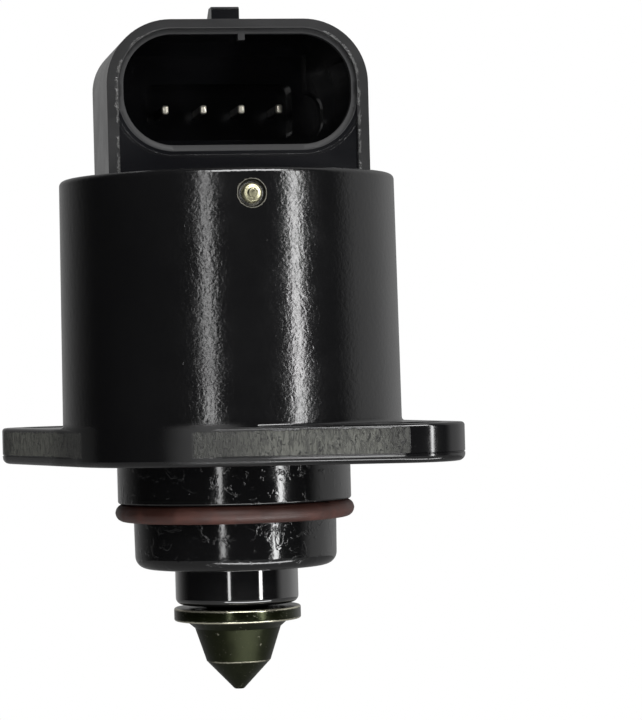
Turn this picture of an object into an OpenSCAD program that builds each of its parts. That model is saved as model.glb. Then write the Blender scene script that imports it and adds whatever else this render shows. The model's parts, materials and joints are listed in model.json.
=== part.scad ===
// Idle air control valve: a stepper motor in a flanged die-cast housing, with a
// screw-driven pintle below and a four-way plug socket moulded into its cover.
// The valve's axis is Z. The origin is where that axis meets the mounting face,
// the pintle points down and the socket opens towards -Y.

/* [Housing] */
// Diameter of the body where it meets the flange
body_d = 30.2; // [28:0.1:34]
// Height of the body from the top of the flange to its open rim
body_h = 21.95; // [20.5:0.05:25]
// Casting draft of the body's side, in degrees
body_draft = 0.5; // [0:0.1:1]
// Rounding of the body's rim
rim_r = 0.5; // [0.3:0.1:1]
// Least thickness of the wall round the motor
wall_t = 1.6; // [1.2:0.1:2]
// Depth of the motor chamber's floor above the mounting face
floor_z = 1.6; // [1.4:0.1:2.2]

/* [Flange] */
// Thickness of the flange
flange_t = 3.3; // [2.6:0.1:5]
// Distance between the two screw holes
hole_spacing = 39.4; // [37:0.1:44]
// How far the line of the screw holes lies from the valve's axis
hole_offset = 1.4; // [0:0.1:1.8]
// Direction of the line of the screw holes, in degrees from X
hole_line = -45; // [-70:1:-20]
// Diameter of the screw holes
hole_d = 5.3; // [4.3:0.1:6]
// Radius of the flange's ears
ear_r = 4.75; // [4.5:0.05:6]
// Rounding of the flange's edges
flange_edge = 0.6; // [0.2:0.1:0.9]
// Fillet between the body and the flange
root_fillet = 0.5; // [0.2:0.1:0.9]

/* [Nose] */
// Diameter of the pilot that centres the valve in its seat
pilot_d = 20.8; // [19.8:0.1:22]
// Height of the pilot
pilot_h = 3.5; // [3:0.1:5]
// Diameter of the nose below the pilot
nose_d = 18.1; // [17:0.1:18.6]
// Height of the nose
nose_h = 5.8; // [5:0.1:7]
// Rounding at the bottom of the nose
nose_edge = 1.1; // [0.5:0.05:1.8]
// Outer diameter of the guide tube
tube_d = 10.95; // [10.4:0.05:12]
// Height of the guide tube below the nose
tube_h = 3.3; // [2.5:0.1:4.5]
// Rounding at the mouth of the guide tube
tube_edge = 0.6; // [0.2:0.1:0.8]
// Bore of the guide tube, where the spring works
tube_bore = 8.6; // [8.2:0.1:9]
// Thickness of the O-ring's cord as stretched over the nose
ring_cord = 1.6; // [1.2:0.1:2]

/* [Connector] */
// Width of the connector hood
hood_w = 22.8; // [21.8:0.1:23.4]
// Height of the hood above the body's rim
hood_h = 13.2; // [12.8:0.1:15]
// How far the hood's face stands in front of the valve's axis
hood_front = 8.7; // [8:0.1:9.2]
// How far the hood's back stands behind the valve's axis
hood_back = 8.5; // [8.2:0.1:9.6]
// Radius of the hood's upper corners
hood_corner = 5.6; // [3.5:0.1:6]
// Rounding of the hood's back edges
hood_back_r = 4.8; // [2:0.1:5]
// Width of the raised band round the hood's face
band_w = 1; // [0.7:0.1:1.2]
// Width of the socket
socket_w = 20.8; // [20.2:0.1:21]
// Height of the socket
socket_h = 10.5; // [10:0.1:10.8]
// Depth of the socket's wide mouth
socket_depth = 11; // [9:0.1:11.5]
// Height of the socket's floor above the body's rim
socket_lift = 1.9; // [1.6:0.1:2.3]
// Distance from one terminal to the next
terminal_pitch = 3.44; // [3:0.02:3.6]
// Width of a terminal
terminal_w = 0.6; // [0.5:0.05:1]
// Height of a terminal's blade
terminal_t = 0.8; // [0.6:0.05:1]
// Height of the terminals above the body's rim
terminal_lift = 6.3; // [5.8:0.1:7]
// Width of the latch nub on top of the hood
nub_w = 2.5; // [2:0.1:4]
// How far the latch nub lies to the right of the middle
nub_x = 0.2; // [0:0.1:1]
// Height of the latch nub
nub_h = 2.1; // [1.5:0.1:2.6]

/* [Motor] */
// Diameter of the rotor magnet
magnet_d = 14.7; // [14:0.1:15]
// Air gap between the magnet and the pole claws
air_gap = 0.3; // [0.2:0.05:0.5]
// Thickness of the steel pole plates
plate_t = 0.8; // [0.6:0.1:1]
// Number of claws on each pole plate
claws = 12; // [8:2:16]
// Width of a claw at its root
claw_w = 1.5; // [1:0.1:1.6]

/* [Screw and pintle] */
// Diameter of the lead screw
screw_d = 3.9; // [3.4:0.1:4.2]
// Distance across the flats of the lead screw
screw_flats = 3.2; // [2.8:0.1:3.4]
// How far the pintle moves out from rest
travel = 8; // [5:0.5:9]
// Diameter of the pintle's collar
collar_d = 11.3; // [10.5:0.1:12]
// Thickness of the pintle's collar
collar_t = 1.15; // [0.7:0.05:1.3]
// Gap between the guide tube and the collar at rest
collar_gap = 0.3; // [0.3:0.1:1]
// Diameter at the top of the pintle's cone
cone_d = 7.65; // [6.4:0.05:8]
// Diameter where the cone meets its steeper tip
cone_low_d = 5.7; // [5:0.05:6]
// Height of the upper cone
cone_h = 2.95; // [2.4:0.05:3.5]
// Height of the tip
tip_h = 2.55; // [2:0.05:3.2]
// Wire of the return spring
spring_wire = 0.6; // [0.4:0.05:0.7]
// Turns of the return spring
spring_turns = 5; // [4:0.5:6]

/* [Fits] */
// Gap round a piece that turns or slides
running_gap = 0.05; // [0.03:0.01:0.08]
// Gap round a piece that is pressed or moulded in
seat_gap = 0.02; // [0.01:0.01:0.03]
// Gap round the stator in its chamber
stator_gap = 0.1; // [0.05:0.01:0.15]

/* [Hidden] */
$fn = 96;
eps = 0.01;

// Heights of the housing
rim_z = flange_t + body_h;
pilot_z = -pilot_h;
nose_z = pilot_z - nose_h;
tube_z = nose_z - tube_h;
// Radii of the housing
body_r = body_d / 2;
top_r = body_r - body_h * tan(body_draft);
chamber_r = top_r - wall_t;
pilot_r = pilot_d / 2;
nose_r = nose_d / 2;
nose_low_r = nose_r - nose_h * tan(0.8);
tube_r = tube_d / 2;
bore_r = tube_bore / 2;
// Places of the screw holes
hole_half = hole_spacing / 2;
hole_side = [-sin(-hole_line), -cos(hole_line)];
hole_along = [cos(hole_line), sin(hole_line)];
front_ear = hole_along * hole_half + hole_side * hole_offset;
back_ear = -hole_along * hole_half + hole_side * hole_offset;
// Cover
plug_h = 3.3;
plug_top_z = rim_z - 0.3;
plug_z = plug_top_z - plug_h;
gasket_t = 0.4;
cover_r = chamber_r - stator_gap;
pin_z = plug_z + plug_h * 0.42;
pin_r = 1.15;
pin_face_r = 0.85;
pin_depth = 2.4;
pin_proud = 0.25;
pin_step = 0.25;
pin_nub_r = 0.3;
pin_angles = [-90, 30, 150];
hood_top_z = rim_z + hood_h;
socket_z = rim_z + socket_lift;
socket_r = 4.8;
band_step = 0.25;
step_y = -hood_front + socket_depth;
pocket_y = step_y + 1.2;
pocket_floor_y = hood_back - 2;
terminal_z = rim_z + terminal_lift;
terminal_tip_y = step_y - 1;
tail_y = hood_back - 0.6;
tail_pocket_h = 1.5;
tail_pocket_w = 3 * terminal_pitch + terminal_w + 3;
tail_z = plug_z + 0.35;
lead_r = 0.12;
// Bearing at the front of the rotor
bearing_r = 6.5;
bearing_bore_r = 3;
bearing_w = 3.5;
bearing_z = floor_z - 0.1 - bearing_w;
ball_r = 1;
ball_count = 8;
ball_track_r = (bearing_r + bearing_bore_r) / 2;
ball_z = bearing_z + bearing_w / 2;
race_t = 1.1;
cage_h = 2.6;
cage_w = 0.8;
washer_h = 0.6;
washer_t = 0.25;
bearing_pocket_z = bearing_z - washer_h;
// Stator
stator_z = floor_z;
stator_top_z = plug_z - gasket_t;
stator_mid_z = (stator_z + stator_top_z) / 2;
cup_r = chamber_r - stator_gap;
cup_in_r = cup_r - plate_t;
claw_in_r = magnet_d / 2 + air_gap;
claw_out_r = claw_in_r + plate_t;
claw_pitch = 360 / claws;
bobbin_in_r = claw_out_r + stator_gap;
bobbin_wall = 0.6;
bobbin_r = cup_in_r - stator_gap;
winding_in_r = bobbin_in_r + bobbin_wall;
winding_r = bobbin_r - 0.45;
lead_track_r = winding_r + lead_r + seat_gap;
gasket_w = cover_r - lead_track_r - lead_r - stator_gap;
slot_half_angle = 17;
lead_angles = [12, 4, -4, -12];
// Rotor
screw_r = screw_d / 2;
thread_r = screw_r + running_gap;
nut_bore_r = screw_r + 0.4;
nut_r = 4.4;
nut_flange_r = 6.3;
nut_shoulder_r = 3.7;
magnet_z = stator_z + 2.6;
magnet_top_z = stator_top_z - 1.9;
nut_top_z = stator_top_z - 0.75;
thread_top_z = floor_z + 5.4;
screw_top_z = thread_top_z + travel + 2.5;
journal_r = 3;
bush_r = 4;
bush_flange_r = 5.2;
bush_flange_t = 0.6;
bush_z = plug_z - bush_flange_t;
bush_h = 2.7;
thrust_t = 0.3;
// Guide, spring and pintle
guide_h = 2;
guide_top_z = bearing_pocket_z - 1.7;
guide_z = guide_top_z - guide_h;
clear_bore_r = screw_r + 0.6;
collar_z = tube_z - collar_gap;
collar_low_z = collar_z - collar_t;
flare_h = 0.7;
cone_z = collar_low_z - flare_h;
cone_low_z = cone_z - cone_h;
tip_z = cone_low_z - tip_h;
tip_r = 0.42;
hub_r = 2.75;
hub_h = 1.5;
screw_seat_z = cone_z - 1.6;
spring_r = (bore_r + hub_r) / 2;
spring_wire_r = spring_wire / 2;
spring_top = guide_z - spring_wire_r - 0.02;
spring_low = collar_z + spring_wire_r + 0.02;

// What rounding takes off a corner at [x, z]; sx and sz say which way it points
module corner_waste(x, z, r, sx, sz) {
    difference() {
        translate([x - sx * r / 2, z - sz * r / 2]) square(r + 1, center = true);
        translate([x - sx * r, z - sz * r]) circle(r, $fn = 48);
        translate([x - sx * (r + 5), z]) square([10, 40], center = true);
        translate([x, z - sz * (r + 5)]) square([40, 10], center = true);
    }
}

// Half section of a straight or drafted stub whose lower outer edge is rounded
module stub_section(r_top, r_low, z_top, z_low, edge) {
    difference() {
        polygon([[0, z_top], [r_top, z_top], [r_low, z_low], [0, z_low]]);
        corner_waste(r_low, z_low, edge, 1, -1);
    }
}

module tube(r_out, r_in, h) {
    difference() {
        cylinder(r = r_out, h = h);
        translate([0, 0, -1]) cylinder(r = r_in, h = h + 2);
    }
}

// Flange: the body's circle and two ears, joined by straight flanks
function polar(r, a) = [r * cos(a), r * sin(a)];
function ear_dir(ear) = atan2(ear[1], ear[0]);
function flank_angle(ear) = acos((body_r - ear_r) / norm(ear));

// Outline of the body's circle and one ear, drawn in by a distance
module ear_outline(at, inset) {
    a = ear_dir(at);
    b = flank_angle(at);
    translate(at) circle(ear_r - inset);
    polygon([[0, 0], polar(body_r - inset, a - b), at + polar(ear_r - inset, a - b),
        at + polar(ear_r - inset, a + b), polar(body_r - inset, a + b)]);
}

module flange() {
    linear_extrude(flange_t) {
        ear_outline(front_ear, 0);
        ear_outline(back_ear, 0);
    }
}

// Fillet where the body rises from the ears
module root_ring() {
    intersection() {
        translate([0, 0, flange_t - eps]) rotate_extrude() difference() {
            translate([body_r - 1, 0]) square([1 + root_fillet, root_fillet]);
            translate([body_r + root_fillet - 2 * eps, root_fillet])
                circle(root_fillet, $fn = 48);
        }
        linear_extrude(rim_z) {
            ear_outline(front_ear, flange_edge);
            ear_outline(back_ear, flange_edge);
            circle(body_r - flange_edge);
        }
    }
}

module body_wall() {
    rotate_extrude() difference() {
        polygon([[0, 0], [body_r, 0], [body_r, flange_t], [top_r, rim_z], [0, rim_z]]);
        corner_waste(top_r, rim_z, rim_r, 1, 1);
    }
}

module housing_outside() {
    body_wall();
    flange();
    root_ring();
    rotate_extrude() {
        stub_section(pilot_r, pilot_r, eps, pilot_z, 0.2);
        stub_section(nose_r, nose_low_r, pilot_z + 1, nose_z, nose_edge);
        stub_section(tube_r, tube_r, nose_z + 1, tube_z, tube_edge);
    }
}

// Everything that is bored out of the housing from above and below
module housing_bores() {
    rotate_extrude() polygon([
        [0, rim_z + 1], [chamber_r, rim_z + 1], [chamber_r, floor_z],
        [bearing_r + seat_gap, floor_z], [bearing_r + seat_gap, bearing_pocket_z],
        [clear_bore_r, bearing_pocket_z], [clear_bore_r, guide_top_z],
        [bore_r, guide_top_z], [bore_r, tube_z - 1], [0, tube_z - 1]]);
    for (ear = [front_ear, back_ear])
        translate([ear[0], ear[1], -1]) cylinder(d = hole_d, h = flange_t + 2);
    for (a = pin_angles) rotate([0, 0, a]) translate([chamber_r - 1, 0, pin_z])
        rotate([0, 90, 0]) cylinder(r = pin_r + running_gap, h = wall_t + 3, $fn = 48);
}

module housing() {
    color([0.05, 0.05, 0.055]) difference() {
        housing_outside();
        housing_bores();
    }
}

// Rounded rectangle, centred in X and standing on Y = 0
module round_box(w, h, r) {
    translate([-w / 2 + r, 0]) square([w - 2 * r, h]);
    translate([-w / 2, r]) square([w, h - 2 * r]);
    for (x = [-1, 1], y = [r, h - r])
        translate([x * (w / 2 - r), y]) circle(r, $fn = 64);
}

// Front outline of the hood: round at the top, square at the bottom
module tombstone(w, h, r) {
    translate([-w / 2, 0]) square([w, h - r]);
    translate([-w / 2 + r, 0]) square([w - 2 * r, h]);
    for (x = [-1, 1]) translate([x * (w / 2 - r), h - r]) circle(r, $fn = 64);
}

// Extrudes an outline drawn in X and Z from one Y to another
module slab(y0, y1) {
    translate([0, y1, 0]) rotate([90, 0, 0]) linear_extrude(y1 - y0) children();
}

module hood_outside() {
    depth = hood_front + hood_back;
    foot = rim_z - plug_top_z + eps;
    intersection() {
        translate([0, 0, rim_z - foot]) slab(-hood_front, hood_back)
            tombstone(hood_w, hood_h + foot, hood_corner);
        translate([0, 0, rim_z - foot]) linear_extrude(hood_h + foot + 1)
            translate([0, hood_back]) mirror([0, 1]) union() {
                translate([-hood_w / 2, hood_back_r])
                    square([hood_w, depth - hood_back_r]);
                translate([-hood_w / 2 + hood_back_r, 0])
                    square([hood_w - 2 * hood_back_r, depth]);
                for (x = [-1, 1]) translate([x * (hood_w / 2 - hood_back_r), hood_back_r])
                    circle(hood_back_r, $fn = 64);
            }
        translate([-hood_w, 0, 0]) rotate([90, 0, 90]) linear_extrude(2 * hood_w) {
            translate([-hood_front, rim_z - foot])
                square([depth - 2, hood_h + foot]);
            translate([-hood_front, rim_z - foot])
                square([depth, hood_h + foot - 2]);
            translate([hood_back - 2, hood_top_z - 2]) circle(2, $fn = 48);
        }
    }
}

// Latch nub: a ramp behind and a square catch in front
module latch_nub() {
    translate([nub_x - nub_w / 2, 0, hood_top_z - 0.5]) rotate([90, 0, 90])
        linear_extrude(nub_w) polygon([[-0.4, 0], [-0.4, nub_h + 0.3],
            [-0.2, nub_h + 0.5], [1.4, nub_h + 0.5], [4.6, 0.3], [4.6, 0]]);
}

module socket_cuts() {
    // Wide mouth
    translate([0, 0, socket_z]) slab(-hood_front - 1, step_y)
        round_box(socket_w, socket_h, socket_r);
    // Face drawn back inside the raised band
    difference() {
        translate([0, 0, rim_z - 1]) slab(-hood_front - 1, -hood_front + band_step)
            tombstone(hood_w - 2 * band_w, hood_h + 1 - band_w, hood_corner - band_w);
        translate([-hood_w, -hood_front - 2, 0]) cube([2 * hood_w, 4, rim_z]);
    }
    // Keyed opening behind the mouth
    key_w = socket_w - 5.1;
    translate([0, 0, socket_z + 1.7]) slab(step_y - eps, pocket_y)
        round_box(socket_w - 2.2, socket_h - 6.2, 1.6);
    translate([0, 0, socket_z + 1.7]) slab(step_y - eps, pocket_y)
        translate([-key_w / 2, 1]) square([key_w, socket_h - 3.9]);
    // Deep pocket for the terminals
    translate([0, 0, terminal_z - 2.6]) slab(pocket_y - eps, pocket_floor_y)
        round_box(4 * terminal_pitch - 0.5, 5.1, 0.8);
}

module terminal_blade(x, gap) {
    w = terminal_w + 2 * gap;
    back = tail_y + gap;
    translate([x - w / 2, terminal_tip_y, terminal_z - terminal_t / 2 - gap])
        cube([w, back - terminal_tip_y, terminal_t + 2 * gap]);
    translate([x - w / 2, tail_y - terminal_t - gap, tail_z])
        cube([w, terminal_t + 2 * gap, terminal_z + terminal_t / 2 + gap - tail_z]);
}

function terminal_x(k) = (k - 2.5) * terminal_pitch;

module connector_cover() {
    color([0.09, 0.09, 0.095]) difference() {
        union() {
            translate([0, 0, plug_z]) cylinder(r = cover_r, h = plug_h);
            difference() {
                hood_outside();
                socket_cuts();
            }
            latch_nub();
            // Index rib under the roof of the socket
            translate([0.1, -hood_front + 0.3, socket_z + socket_h - 1])
                cube([0.6, 4, 1.3]);
        }
        // Seat of the rear bush
        translate([0, 0, plug_z - 1]) cylinder(r = bush_r + seat_gap, h = bush_h + 1.4);
        // Room for the terminals' tails and the leads
        intersection() {
            translate([-tail_pocket_w / 2, tail_y - terminal_t - 1.5, plug_z - 1])
                cube([tail_pocket_w, body_r, tail_pocket_h + 1]);
            translate([0, 0, plug_z - 1])
                cylinder(r = lead_track_r + lead_r + stator_gap, h = tail_pocket_h + 1);
        }
        for (k = [1:4]) terminal_blade(terminal_x(k), seat_gap);
        for (a = pin_angles) rotate([0, 0, a])
            translate([cover_r - pin_depth, 0, pin_z])
                rotate([0, 90, 0]) cylinder(r = pin_r + seat_gap, h = 4, $fn = 48);
    }
}

module terminal(k) {
    color([0.8, 0.76, 0.62]) terminal_blade(terminal_x(k), 0);
}

module cover_pins() {
    side_r = body_r - (body_r - top_r) * (pin_z - flange_t) / body_h;
    inner = cover_r - pin_depth + 0.2;
    color([0.74, 0.7, 0.58]) for (a = pin_angles) rotate([0, 0, a])
        translate([0, 0, pin_z]) rotate([0, 90, 0]) {
            translate([0, 0, inner])
                cylinder(r = pin_r, h = side_r - inner - pin_step, $fn = 48);
            translate([0, 0, side_r - pin_step - eps])
                cylinder(r1 = pin_face_r + 0.05, r2 = pin_face_r - 0.1,
                    h = pin_step + eps + pin_proud, $fn = 48);
            translate([0, 0, side_r + pin_proud - eps])
                cylinder(r = pin_nub_r, h = 0.15, $fn = 32);
        }
}

module cover_gasket() {
    color([0.15, 0.15, 0.15]) translate([0, 0, stator_top_z])
        tube(cover_r, cover_r - gasket_w, gasket_t - eps);
}

// Claw that rises from a plate's inner edge, narrower at its end
module claw(h) {
    translate([claw_in_r - 1, 0, 0]) rotate([90, 0, 90]) linear_extrude(plate_t + 2)
        polygon([[-claw_w / 2, 0], [claw_w / 2, 0], [claw_w * 0.33, h], [-claw_w * 0.33, h]]);
}

module claw_ring(h, turn) {
    intersection() {
        tube(claw_out_r, claw_in_r, h);
        for (k = [0:claws - 1]) rotate([0, 0, k * claw_pitch + turn]) claw(h);
    }
}

// Way for the coil leads past a plate or flange
module lead_slot(z, h) {
    translate([0, 0, z]) rotate([0, 0, 90 - slot_half_angle])
        rotate_extrude(angle = 2 * slot_half_angle)
            translate([winding_r, 0]) square([cup_in_r - winding_r, h]);
}

claw_h = stator_mid_z - stator_z - 2 * plate_t;

module pole_cup() {
    tube(cup_r, claw_in_r, plate_t);
    tube(cup_r, cup_in_r, stator_mid_z - stator_z);
    translate([0, 0, plate_t - eps]) claw_ring(claw_h, 0);
}

module pole_plate() {
    tube(cup_in_r - seat_gap, claw_in_r, plate_t);
    translate([0, 0, plate_t - eps]) claw_ring(claw_h, claw_pitch / 2);
}

module lower_pole_cup() {
    color([0.6, 0.61, 0.63]) translate([0, 0, stator_z]) pole_cup();
}

module lower_pole_plate() {
    color([0.55, 0.56, 0.58]) difference() {
        translate([0, 0, stator_mid_z]) mirror([0, 0, 1]) pole_plate();
        lead_slot(stator_mid_z - plate_t - 1, plate_t + 2);
    }
}

module upper_pole_plate() {
    color([0.55, 0.56, 0.58]) difference() {
        translate([0, 0, stator_mid_z]) pole_plate();
        lead_slot(stator_mid_z - 1, plate_t + 2);
    }
}

module upper_pole_cup() {
    color([0.6, 0.61, 0.63]) difference() {
        translate([0, 0, stator_top_z]) mirror([0, 0, 1]) pole_cup();
        lead_slot(stator_top_z - plate_t - 1, plate_t + 2);
    }
}

lower_coil_z = stator_z + plate_t + seat_gap;
upper_coil_z = stator_mid_z + plate_t + seat_gap;
coil_h = stator_mid_z - stator_z - 2 * plate_t - 2 * seat_gap;

module bobbin(z) {
    color([0.88, 0.86, 0.8]) difference() {
        translate([0, 0, z]) tube(bobbin_r, bobbin_in_r, coil_h);
        translate([0, 0, z + bobbin_wall])
            tube(bobbin_r + 1, winding_in_r, coil_h - 2 * bobbin_wall);
        lead_slot(z - 1, coil_h + 2);
    }
}

module winding(z) {
    color([0.72, 0.38, 0.16]) translate([0, 0, z + bobbin_wall + seat_gap])
        tube(winding_r, winding_in_r + seat_gap, coil_h - 2 * bobbin_wall - 2 * seat_gap);
}

// Four enamelled leads: up along the windings and across to the terminals' tails
module coil_leads() {
    bend_z = tail_z - lead_r - seat_gap;
    color([0.75, 0.4, 0.17]) for (k = [1:4]) {
        a = 90 + lead_angles[k - 1];
        start = (k == 1 || k == 4 ? lower_coil_z : upper_coil_z) + coil_h / 2;
        from = [lead_track_r * cos(a), lead_track_r * sin(a), bend_z];
        to = [terminal_x(k), tail_y - terminal_t / 2, bend_z];
        run = to - from;
        translate([from[0], from[1], start])
            cylinder(r = lead_r, h = bend_z - start, $fn = 24);
        translate(from) sphere(lead_r, $fn = 24);
        translate(from) rotate([0, 0, atan2(run[1], run[0])]) rotate([0, 90, 0])
            cylinder(r = lead_r, h = norm(run), $fn = 24);
    }
}

module rotor_magnet() {
    color([0.2, 0.2, 0.22]) translate([0, 0, magnet_z])
        tube(magnet_d / 2, nut_r + seat_gap, magnet_top_z - magnet_z);
}

// Brass nut: lower journal, flange under the magnet, hub and upper journal
module drive_nut() {
    journal_top = bush_z + bush_flange_t + bush_h - 0.3;
    low_r = bearing_bore_r - seat_gap;
    up_r = journal_r - running_gap;
    shoulder_z = bearing_z + bearing_w;
    color([0.78, 0.62, 0.3]) rotate_extrude() polygon([
        [thread_r, bearing_z], [low_r, bearing_z], [low_r, shoulder_z],
        [nut_shoulder_r, shoulder_z], [nut_shoulder_r, magnet_z - 1.1],
        [nut_flange_r, magnet_z - 1.1], [nut_flange_r, magnet_z], [nut_r, magnet_z],
        [nut_r, nut_top_z], [up_r, nut_top_z], [up_r, journal_top], [0, journal_top],
        [0, screw_top_z + 1], [nut_bore_r, screw_top_z + 1],
        [nut_bore_r, thread_top_z], [thread_r, thread_top_z]]);
}

module race_groove() {
    translate([0, 0, ball_z]) rotate_extrude()
        translate([ball_track_r, 0]) circle(ball_r + 0.03, $fn = 64);
}

module bearing_outer_ring() {
    color([0.7, 0.71, 0.73]) difference() {
        translate([0, 0, bearing_z]) tube(bearing_r, bearing_r - race_t, bearing_w);
        race_groove();
    }
}

module bearing_inner_ring() {
    color([0.7, 0.71, 0.73]) difference() {
        translate([0, 0, bearing_z])
            tube(bearing_bore_r + race_t, bearing_bore_r, bearing_w);
        race_groove();
    }
}

module bearing_balls() {
    color([0.8, 0.81, 0.83]) for (k = [0:ball_count - 1])
        rotate([0, 0, k * 360 / ball_count]) translate([ball_track_r, 0, ball_z])
            sphere(ball_r, $fn = 48);
}

module bearing_cage() {
    color([0.72, 0.58, 0.3]) difference() {
        translate([0, 0, ball_z - cage_h / 2])
            tube(ball_track_r + cage_w / 2, ball_track_r - cage_w / 2, cage_h);
        for (k = [0:ball_count - 1])
            rotate([0, 0, k * 360 / ball_count]) translate([ball_track_r, 0, ball_z])
                sphere(ball_r + 0.03, $fn = 48);
    }
}

// Wave washer under the bearing: a flat ring bent into three waves
module preload_washer() {
    steps = 72;
    rise = washer_h - washer_t - 2 * seat_gap;
    r_in = bearing_r - race_t - 0.4;
    r_out = bearing_r - 0.3;
    mid_z = bearing_pocket_z + washer_h / 2;
    function wave(a) = mid_z + rise / 2 * sin(3 * a);
    ring = [for (k = [0:steps - 1], c = [[r_in, -1], [r_out, -1], [r_out, 1], [r_in, 1]])
        let (a = k * 360 / steps)
        [c[0] * cos(a), c[0] * sin(a), wave(a) + c[1] * washer_t / 2]];
    faces = [for (k = [0:steps - 1], s = [0:3]) let (
        n = (k + 1) % steps, t = (s + 1) % 4)
        [k * 4 + s, k * 4 + t, n * 4 + t, n * 4 + s]];
    color([0.62, 0.63, 0.65]) polyhedron(ring, faces);
}

module thrust_washer() {
    color([0.85, 0.83, 0.75]) translate([0, 0, nut_top_z + 0.03])
        tube(nut_r + 0.4, journal_r + running_gap, thrust_t);
}

module rear_bush() {
    color([0.66, 0.5, 0.28]) difference() {
        union() {
            translate([0, 0, bush_z]) cylinder(r = bush_flange_r, h = bush_flange_t);
            translate([0, 0, bush_z]) cylinder(r = bush_r, h = bush_flange_t + bush_h);
        }
        translate([0, 0, bush_z - 1]) cylinder(r = journal_r, h = bush_h + 3);
    }
}

// Section of the screw: a round bar with two flats
module screw_section(gap) {
    intersection() {
        circle(screw_r + gap, $fn = 96);
        square([4 * screw_r, screw_flats + 2 * gap], center = true);
    }
}

module screw_guide() {
    color([0.85, 0.83, 0.75]) translate([0, 0, guide_z]) linear_extrude(guide_h)
        difference() {
            circle(bore_r - seat_gap);
            screw_section(running_gap);
        }
}

module lead_screw() {
    color([0.62, 0.62, 0.64]) translate([0, 0, screw_seat_z])
        linear_extrude(screw_top_z - screw_seat_z) screw_section(0);
}

// Compression spring, one wire swept along a helix
module return_spring() {
    sides = 8;
    per_turn = 20;
    rings = ceil(spring_turns * per_turn);
    rise = spring_top - spring_low;
    slope = atan2(rise, spring_turns * 2 * PI * spring_r);
    points = [for (k = [0:rings], s = [0:sides - 1]) let (
        a = k * 360 * spring_turns / rings,
        q = s * 360 / sides,
        out = spring_wire_r * cos(q),
        up = spring_wire_r * sin(q))
        [(spring_r + out) * cos(a) + up * sin(slope) * sin(a),
        (spring_r + out) * sin(a) - up * sin(slope) * cos(a),
        spring_low + rise * k / rings + up * cos(slope)]];
    skin = [for (k = [0:rings - 1], s = [0:sides - 1]) let (t = (s + 1) % sides)
        [k * sides + s, (k + 1) * sides + s, (k + 1) * sides + t, k * sides + t]];
    ends = [[for (s = [0:sides - 1]) s],
        [for (s = [0:sides - 1]) rings * sides + sides - 1 - s]];
    color([0.7, 0.71, 0.73]) polyhedron(points, concat(skin, ends));
}

module pintle() {
    collar_r = collar_d / 2;
    color([0.17, 0.17, 0.12]) difference() {
        rotate_extrude() polygon([
            [0, collar_z + hub_h], [hub_r, collar_z + hub_h], [hub_r, collar_z],
            [collar_r - 0.15, collar_z], [collar_r, collar_z - 0.15],
            [collar_r, collar_low_z + 0.15], [collar_r - 0.15, collar_low_z],
            [cone_d / 2 + 0.7, collar_low_z], [cone_d / 2, cone_z],
            [cone_low_d / 2, cone_low_z], [tip_r, tip_z], [0, tip_z]]);
        translate([0, 0, screw_seat_z]) linear_extrude(10) screw_section(seat_gap);
    }
}

module o_ring() {
    cord_r = ring_cord / 2;
    color([0.2, 0.09, 0.07]) translate([0, 0, pilot_z - cord_r - eps]) rotate_extrude()
        translate([nose_r + cord_r + eps, 0]) circle(cord_r, $fn = 48);
}

housing();
connector_cover();
terminal(1);  // terminal_1
terminal(2);  // terminal_2
terminal(3);  // terminal_3
terminal(4);  // terminal_4
cover_pins();
cover_gasket();
lower_pole_cup();
lower_pole_plate();
upper_pole_plate();
upper_pole_cup();
bobbin(lower_coil_z);  // lower_bobbin
bobbin(upper_coil_z);  // upper_bobbin
winding(lower_coil_z);  // lower_winding
winding(upper_coil_z);  // upper_winding
coil_leads();
rotor_magnet();
drive_nut();
bearing_outer_ring();
bearing_inner_ring();
bearing_balls();
bearing_cage();
preload_washer();
thrust_washer();
rear_bush();
screw_guide();
lead_screw();
return_spring();
pintle();
o_ring();
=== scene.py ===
"""Idle air control valve: paint, plastic, metal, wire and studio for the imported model."""

import json
import math

import bmesh
import bpy
from bpy.props import FloatProperty, FloatVectorProperty, IntProperty, PointerProperty
from mathutils import Matrix, Vector


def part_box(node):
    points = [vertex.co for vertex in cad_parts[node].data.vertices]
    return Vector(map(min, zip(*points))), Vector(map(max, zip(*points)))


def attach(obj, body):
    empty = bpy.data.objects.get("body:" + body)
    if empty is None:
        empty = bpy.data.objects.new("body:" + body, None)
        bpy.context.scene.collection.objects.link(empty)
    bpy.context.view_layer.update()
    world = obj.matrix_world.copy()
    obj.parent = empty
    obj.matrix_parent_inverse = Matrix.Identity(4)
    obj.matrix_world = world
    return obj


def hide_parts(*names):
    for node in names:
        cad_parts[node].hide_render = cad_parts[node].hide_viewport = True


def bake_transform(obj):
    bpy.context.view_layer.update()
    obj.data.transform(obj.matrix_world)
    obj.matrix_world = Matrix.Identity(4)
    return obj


bl_info = {
    "name": "Idle air control valve",
    "version": (1, 0, 0),
    "blender": (4, 5, 0),
    "location": "3D View > Sidebar > Valve",
    "description": "Gives the packed idle air control valve its rounded casting, finishes and studio",
    "category": "Object",
}

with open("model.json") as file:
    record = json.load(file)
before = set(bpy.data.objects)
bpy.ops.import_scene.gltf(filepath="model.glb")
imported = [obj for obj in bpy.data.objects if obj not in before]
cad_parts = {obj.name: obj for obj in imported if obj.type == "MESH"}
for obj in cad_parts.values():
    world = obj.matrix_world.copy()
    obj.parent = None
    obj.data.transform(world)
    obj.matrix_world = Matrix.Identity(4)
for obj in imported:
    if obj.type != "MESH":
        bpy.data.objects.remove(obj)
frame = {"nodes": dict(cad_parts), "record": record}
NODES = frame["nodes"]
MOUNTS = {mount["name"]: mount for mount in frame["record"]["mounts"]}
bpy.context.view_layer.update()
MM = 0.001
TAU = 2 * math.pi

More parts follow.
